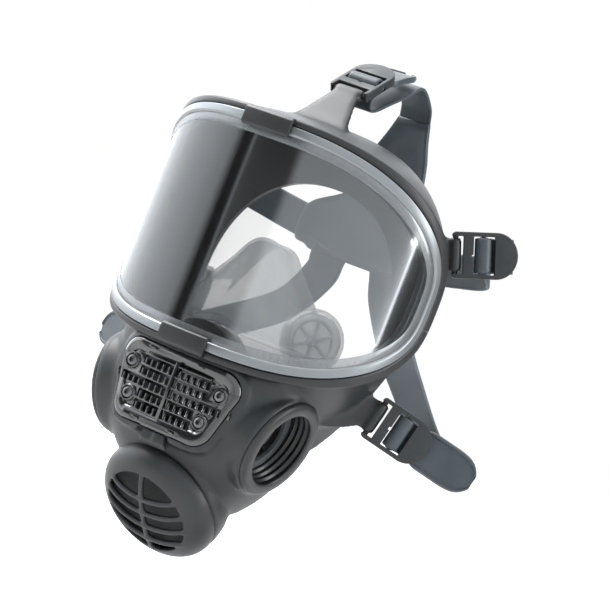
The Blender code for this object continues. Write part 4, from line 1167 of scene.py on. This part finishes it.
PLATE_Y = 57
PLATE_HALF = (
    (10, 97), (13, 87), (17, 76), (20, 64), (23, 48), (44, 34),
    (45, 15), (37, 12), (31, 10), (8.5, 10),
)
STRAP_IN = {
    "top": ((44, -17), (28, -15), (14, -13.5), (7.6, -11), (7.4, -7), (10.4, -3.4)),
    "temple": (
        (17, -17.5), (25, -14), (29, -10.6), (27.5, -7.2),
        (21, -6.2), (14.5, -6), (11.4, -3.4),
    ),
    "lower": (
        (36, -18), (50, -15.5), (56, -11.5), (53, -7.8),
        (40, -6.6), (24, -6.2), (14.5, -6), (11.4, -3.4),
    ),
}
STRAP_OUT = {
    "top": ((18, -1.6), (20.2, -3.1), (27, -3.2), (36, -4.6), (46, -7.6), (55, -12)),
    "temple": ((18, -1.6), (20.2, -3.1), (24, -3.2), (30, -3.2)),
    "lower": ((18, -1.6), (20.2, -3.1), (28, -3.2), (40, -2.6), (52, -1.4), (60, -1)),
}
STRAP_RUN = {
    "top": ((0, 52, 105), (0, 38, 112)),
    "temple": ((62, 52, 27), (84, 40, 31)),
    "lower": ((23, 60, -2), (38, 61, -24), (62, 50, -44)),
}
START_EDGE = {"top": (0, 0), "temple": (5, 6), "lower": (8, 9)}  # rows of PLATE_HALF
TONGUE_START, TONGUE_ROUND = 0.3, 0.66  # shares of the free end
TONGUE_WIDER, TONGUE_BEAD = 2, 0.8


def strap_section(half, bead):
    """Half the strap's width and how far its edge beads stand up, as points across and out."""
    t = STRAP_THICK / 2
    top = [
        (-half, 0), (-half + 0.25, t * 0.75), (-half + 0.8, t + bead),
        (-half + 1.8, t + bead), (-half + 2.4, t), (0, t),
    ]
    top += [(-a, b) for a, b in reversed(top[:-1])]
    low = [(a, -b) for a, b in reversed(top[1:-1])]
    return top + low


def around_roller():
    r = ROLLER_R + 1.6 * GAP + STRAP_THICK / 2
    sweep = [math.radians(188 - 196 * k / 20) for k in range(21)]
    return [(ROLLER_U + r * math.cos(a), r * math.sin(a)) for a in sweep]


def strap(name, kind, side):
    """A strap from the plate's edge, round the buckle's roller, to its free end."""
    place = BUCKLES[name]
    turn = place.to_3x3()
    ends = [PLATE_HALF[row] for row in START_EDGE[kind]]
    p1, p2 = [mirrored((x, PLATE_Y, z), side) for x, z in ends]
    if kind == "top":
        p2 = mirrored(p1, -1)
    middle = (p1 + p2) / 2
    start_across = (p1 - p2).normalized()
    end_across = turn @ ALONG_BAR
    if start_across.dot(end_across) < 0:
        end_across = -end_across
    run = [middle] + [mirrored(p, side) for p in STRAP_RUN[kind]]

    def at(points):
        return [place.translation + turn @ Vector((u, 0, w)) for u, w in points]

    per = 14
    free = smooth_path(run + at(STRAP_IN[kind]), per)
    wrap = at(around_roller())
    tail = smooth_path(at(STRAP_OUT[kind]), 8)
    line = free + wrap + tail
    twist_end = len(run) * per
    half_start = (p1 - p2).length / 2
    inwards = (line[0] - line[1]).normalized()
    rings = []
    last = len(line) - 1
    for k in range(len(line)):
        share = eased(min(k / twist_end, 1))
        direction = (line[min(k + 1, last)] - line[max(k - 1, 0)]).normalized()
        across = start_across.lerp(end_across, share)
        across = (across - direction * across.dot(direction)).normalized()
        normal = direction.cross(across)
        half = half_start + (STRAP_HALF - half_start) * share
        bead = 0
        into = (k - len(free) - len(wrap)) / len(tail)
        if into > TONGUE_START and kind != "temple":
            grow = eased(min((into - TONGUE_START) / 0.15, 1))
            half += TONGUE_WIDER * grow
            bead = TONGUE_BEAD * grow
            u = max(into - TONGUE_ROUND, 0) / (1 - TONGUE_ROUND)
            half *= max(math.sqrt(max(1 - u * u, 0)), 0.22)
        centre = line[k] + (inwards * 3 if k == 0 else Vector())
        rings.append([centre + across * a + normal * b for a, b in strap_section(half, bead)])
    ob = loft(f"strap_{name}", rings, ("flat", "flat"), STRAP, 50)
    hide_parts("head_harness")
    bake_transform(ob)


for row in KINDS:
    strap(*row)

right = smooth_path([Vector((x, PLATE_Y, z)) for x, z in PLATE_HALF], 6)
outline = right + [mirrored(v, -1) for v in reversed(right)]
middle = Vector((0, PLATE_Y, 42))
rings, back = [], []
for share, thick in (
    (0.02, 1.7), (0.35, 1.7), (0.7, 1.4), (0.90, 1), (0.97, 1.5), (0.985, 1.3), (1, 0.4),
):
    crown = 1.5 * (1 - share)
    ring = [middle.lerp(v, share) + Vector((0, crown - thick, 0)) for v in outline]
    rings.append(ring)
    back.insert(0, [v + Vector((0, 2 * thick, 0)) for v in ring])
plate = loft("harness_plate", rings + back, ("fan", "fan"), STRAP, 50)
stand_in(plate, "head_harness")


# ---- carried-over nodes

CARRIED = (
    (("frame_screw", "frame_nut"), STEEL),
    (("speech_diaphragm",), FOIL),
    (("speech_gasket", "port_gasket", "inhalation_disc"), SEAL),
    (("inner_valve_flap",), MILKY_HARD),
    (("diaphragm_ring",), PORT),
    (("exhalation_seat", "exhalation_disc"), VALVE),
)
for name, ob in frame["nodes"].items():
    for starts, look in CARRIED:
        if name.startswith(starts):
            for slot in ob.material_slots:
                slot.material = look


# ---- floor, light and camera

FLOOR_HALF, FLOOR_Z = 4000, -215
square = ((-1, -1), (1, -1), (1, 1), (-1, 1))
corners = [(x * FLOOR_HALF, y * FLOOR_HALF, FLOOR_Z) for x, y in square]
floor = shape("floor", corners, [(0, 1, 2, 3)], None, 0)
pale = moulded(
    "floor_paint", (0.90, 0.90, 0.90), (0.93, 0.93, 0.93), (0.75, 0.85), 2.0, 0.02, 400.0
)
t = pale.node_tree
paint = t.nodes["Principled BSDF"]
paint.inputs["Emission Color"].default_value = (1.0, 1.0, 1.0, 1.0)
seen = node(t, "ShaderNodeLightPath")
# bright to the camera only, so no horizon shows
glow = node(t, "ShaderNodeMapRange", in_To_Min=0.10, in_To_Max=0.80)
t.links.new(seen.outputs["Is Camera Ray"], glow.inputs["Value"])
t.links.new(glow.outputs["Result"], paint.inputs["Emission Strength"])
floor.data.materials.append(pale)

scene = bpy.context.scene
scene.view_settings.view_transform = "Standard"

# the studio in reflections: (azimuth in degrees, strength), dark between the soft boxes
PANELS = (
    (-180, 1.2), (-160, 1.6), (-140, 2.6), (-100, 3.2), (-60, 2.6), (-48, 2), (-42, 0.12),
    (-13, 0.10), (-7, 1.10), (60, 1.25), (95, 1.35), (105, 0.5), (120, 0.35), (180, 0.35),
)
PANEL_SHARE = 0.3  # keeps the ramp's colours below 1
PANEL_GAIN = 3.5
FILL = 0.30  # what diffuse light sees all round

world = bpy.data.worlds.new("studio")
world.use_nodes = True
scene.world = world
t = world.node_tree
link = t.links.new
shown = t.nodes["Background"]
shown.inputs["Color"].default_value = (1.0, 1.0, 1.0, 1.0)
soft = node(t, "ShaderNodeBackground", in_Color=(0.93, 0.96, 1.0, 1.0))
path = node(t, "ShaderNodeLightPath")
around = node(t, "ShaderNodeTexCoord")
parts = node(t, "ShaderNodeSeparateXYZ")
link(around.outputs["Generated"], parts.inputs[0])
back = node(t, "ShaderNodeMath", operation="MULTIPLY")
back.inputs[1].default_value = -1.0
link(parts.outputs["Y"], back.inputs[0])
turn = node(t, "ShaderNodeMath", operation="ARCTAN2")
link(parts.outputs["X"], turn.inputs[0])
link(back.outputs[0], turn.inputs[1])
share = node(t, "ShaderNodeMapRange", in_From_Min=-math.pi, in_From_Max=math.pi)
link(turn.outputs[0], share.inputs["Value"])
panels = node(t, "ShaderNodeValToRGB")
for azimuth, strength in PANELS:
    if abs(azimuth) < 180:
        element = panels.color_ramp.elements.new((azimuth + 180) / 360)
    else:
        element = panels.color_ramp.elements[0 if azimuth < 0 else -1]
    grey = strength * PANEL_SHARE
    element.color = (grey, grey, grey, 1.0)
link(share.outputs["Result"], panels.inputs["Fac"])
bright = node(t, "ShaderNodeMath", operation="MULTIPLY")
bright.inputs[1].default_value = PANEL_GAIN
link(panels.outputs["Color"], bright.inputs[0])
level = node(t, "ShaderNodeMix", data_type="FLOAT")
level.inputs["A"].default_value = FILL
link(path.outputs["Is Glossy Ray"], level.inputs["Factor"])
link(bright.outputs[0], level.inputs["B"])
link(level.outputs["Result"], soft.inputs["Strength"])
mix = node(t, "ShaderNodeMixShader")
link(path.outputs["Is Camera Ray"], mix.inputs[0])
link(soft.outputs[0], mix.inputs[1])
link(shown.outputs[0], mix.inputs[2])
link(mix.outputs[0], t.nodes["World Output"].inputs["Surface"])


def from_angles(azimuth, elevation):
    a, e = math.radians(azimuth), math.radians(elevation)
    return Vector((math.sin(a) * math.cos(e), -math.cos(a) * math.cos(e), math.sin(e)))


def lamp(name, azimuth, elevation, away, size, power):
    data = bpy.data.lights.new(name, "AREA")
    data.shape = "RECTANGLE"
    data.size, data.size_y = size
    data.energy = power
    ob = in_scene(name, data)
    ob.location = from_angles(azimuth, elevation) * away
    ob.rotation_euler = (-ob.location).to_track_quat("-Z", "Y").to_euler()


lamp("key", -75, 48, 1.6, (0.9, 0.9), 30)
lamp("side", 100, 25, 1.5, (0.5, 1.2), 12)
lamp("top", 30, 85, 1.4, (1, 0.6), 8)

AZIMUTH, ELEVATION, ROLL = 30, 0, -21.4
AWAY = 1.2
AIM = Vector((0.0427, -0.0554, -0.0198))
PICTURE_WIDTH = 0.305  # what the picture spans at AIM, in metres
camera_data = bpy.data.cameras.new("camera")
camera_data.sensor_width = 36
camera_data.lens = camera_data.sensor_width * AWAY / PICTURE_WIDTH
camera = in_scene("camera", camera_data)
view = from_angles(AZIMUTH, ELEVATION)
camera.location = AIM + view * AWAY
level_turn = (-view).to_track_quat("-Z", "Y").to_matrix()
camera.rotation_euler = (Matrix.Rotation(math.radians(ROLL), 3, -view) @ level_turn).to_euler()
scene.camera = camera
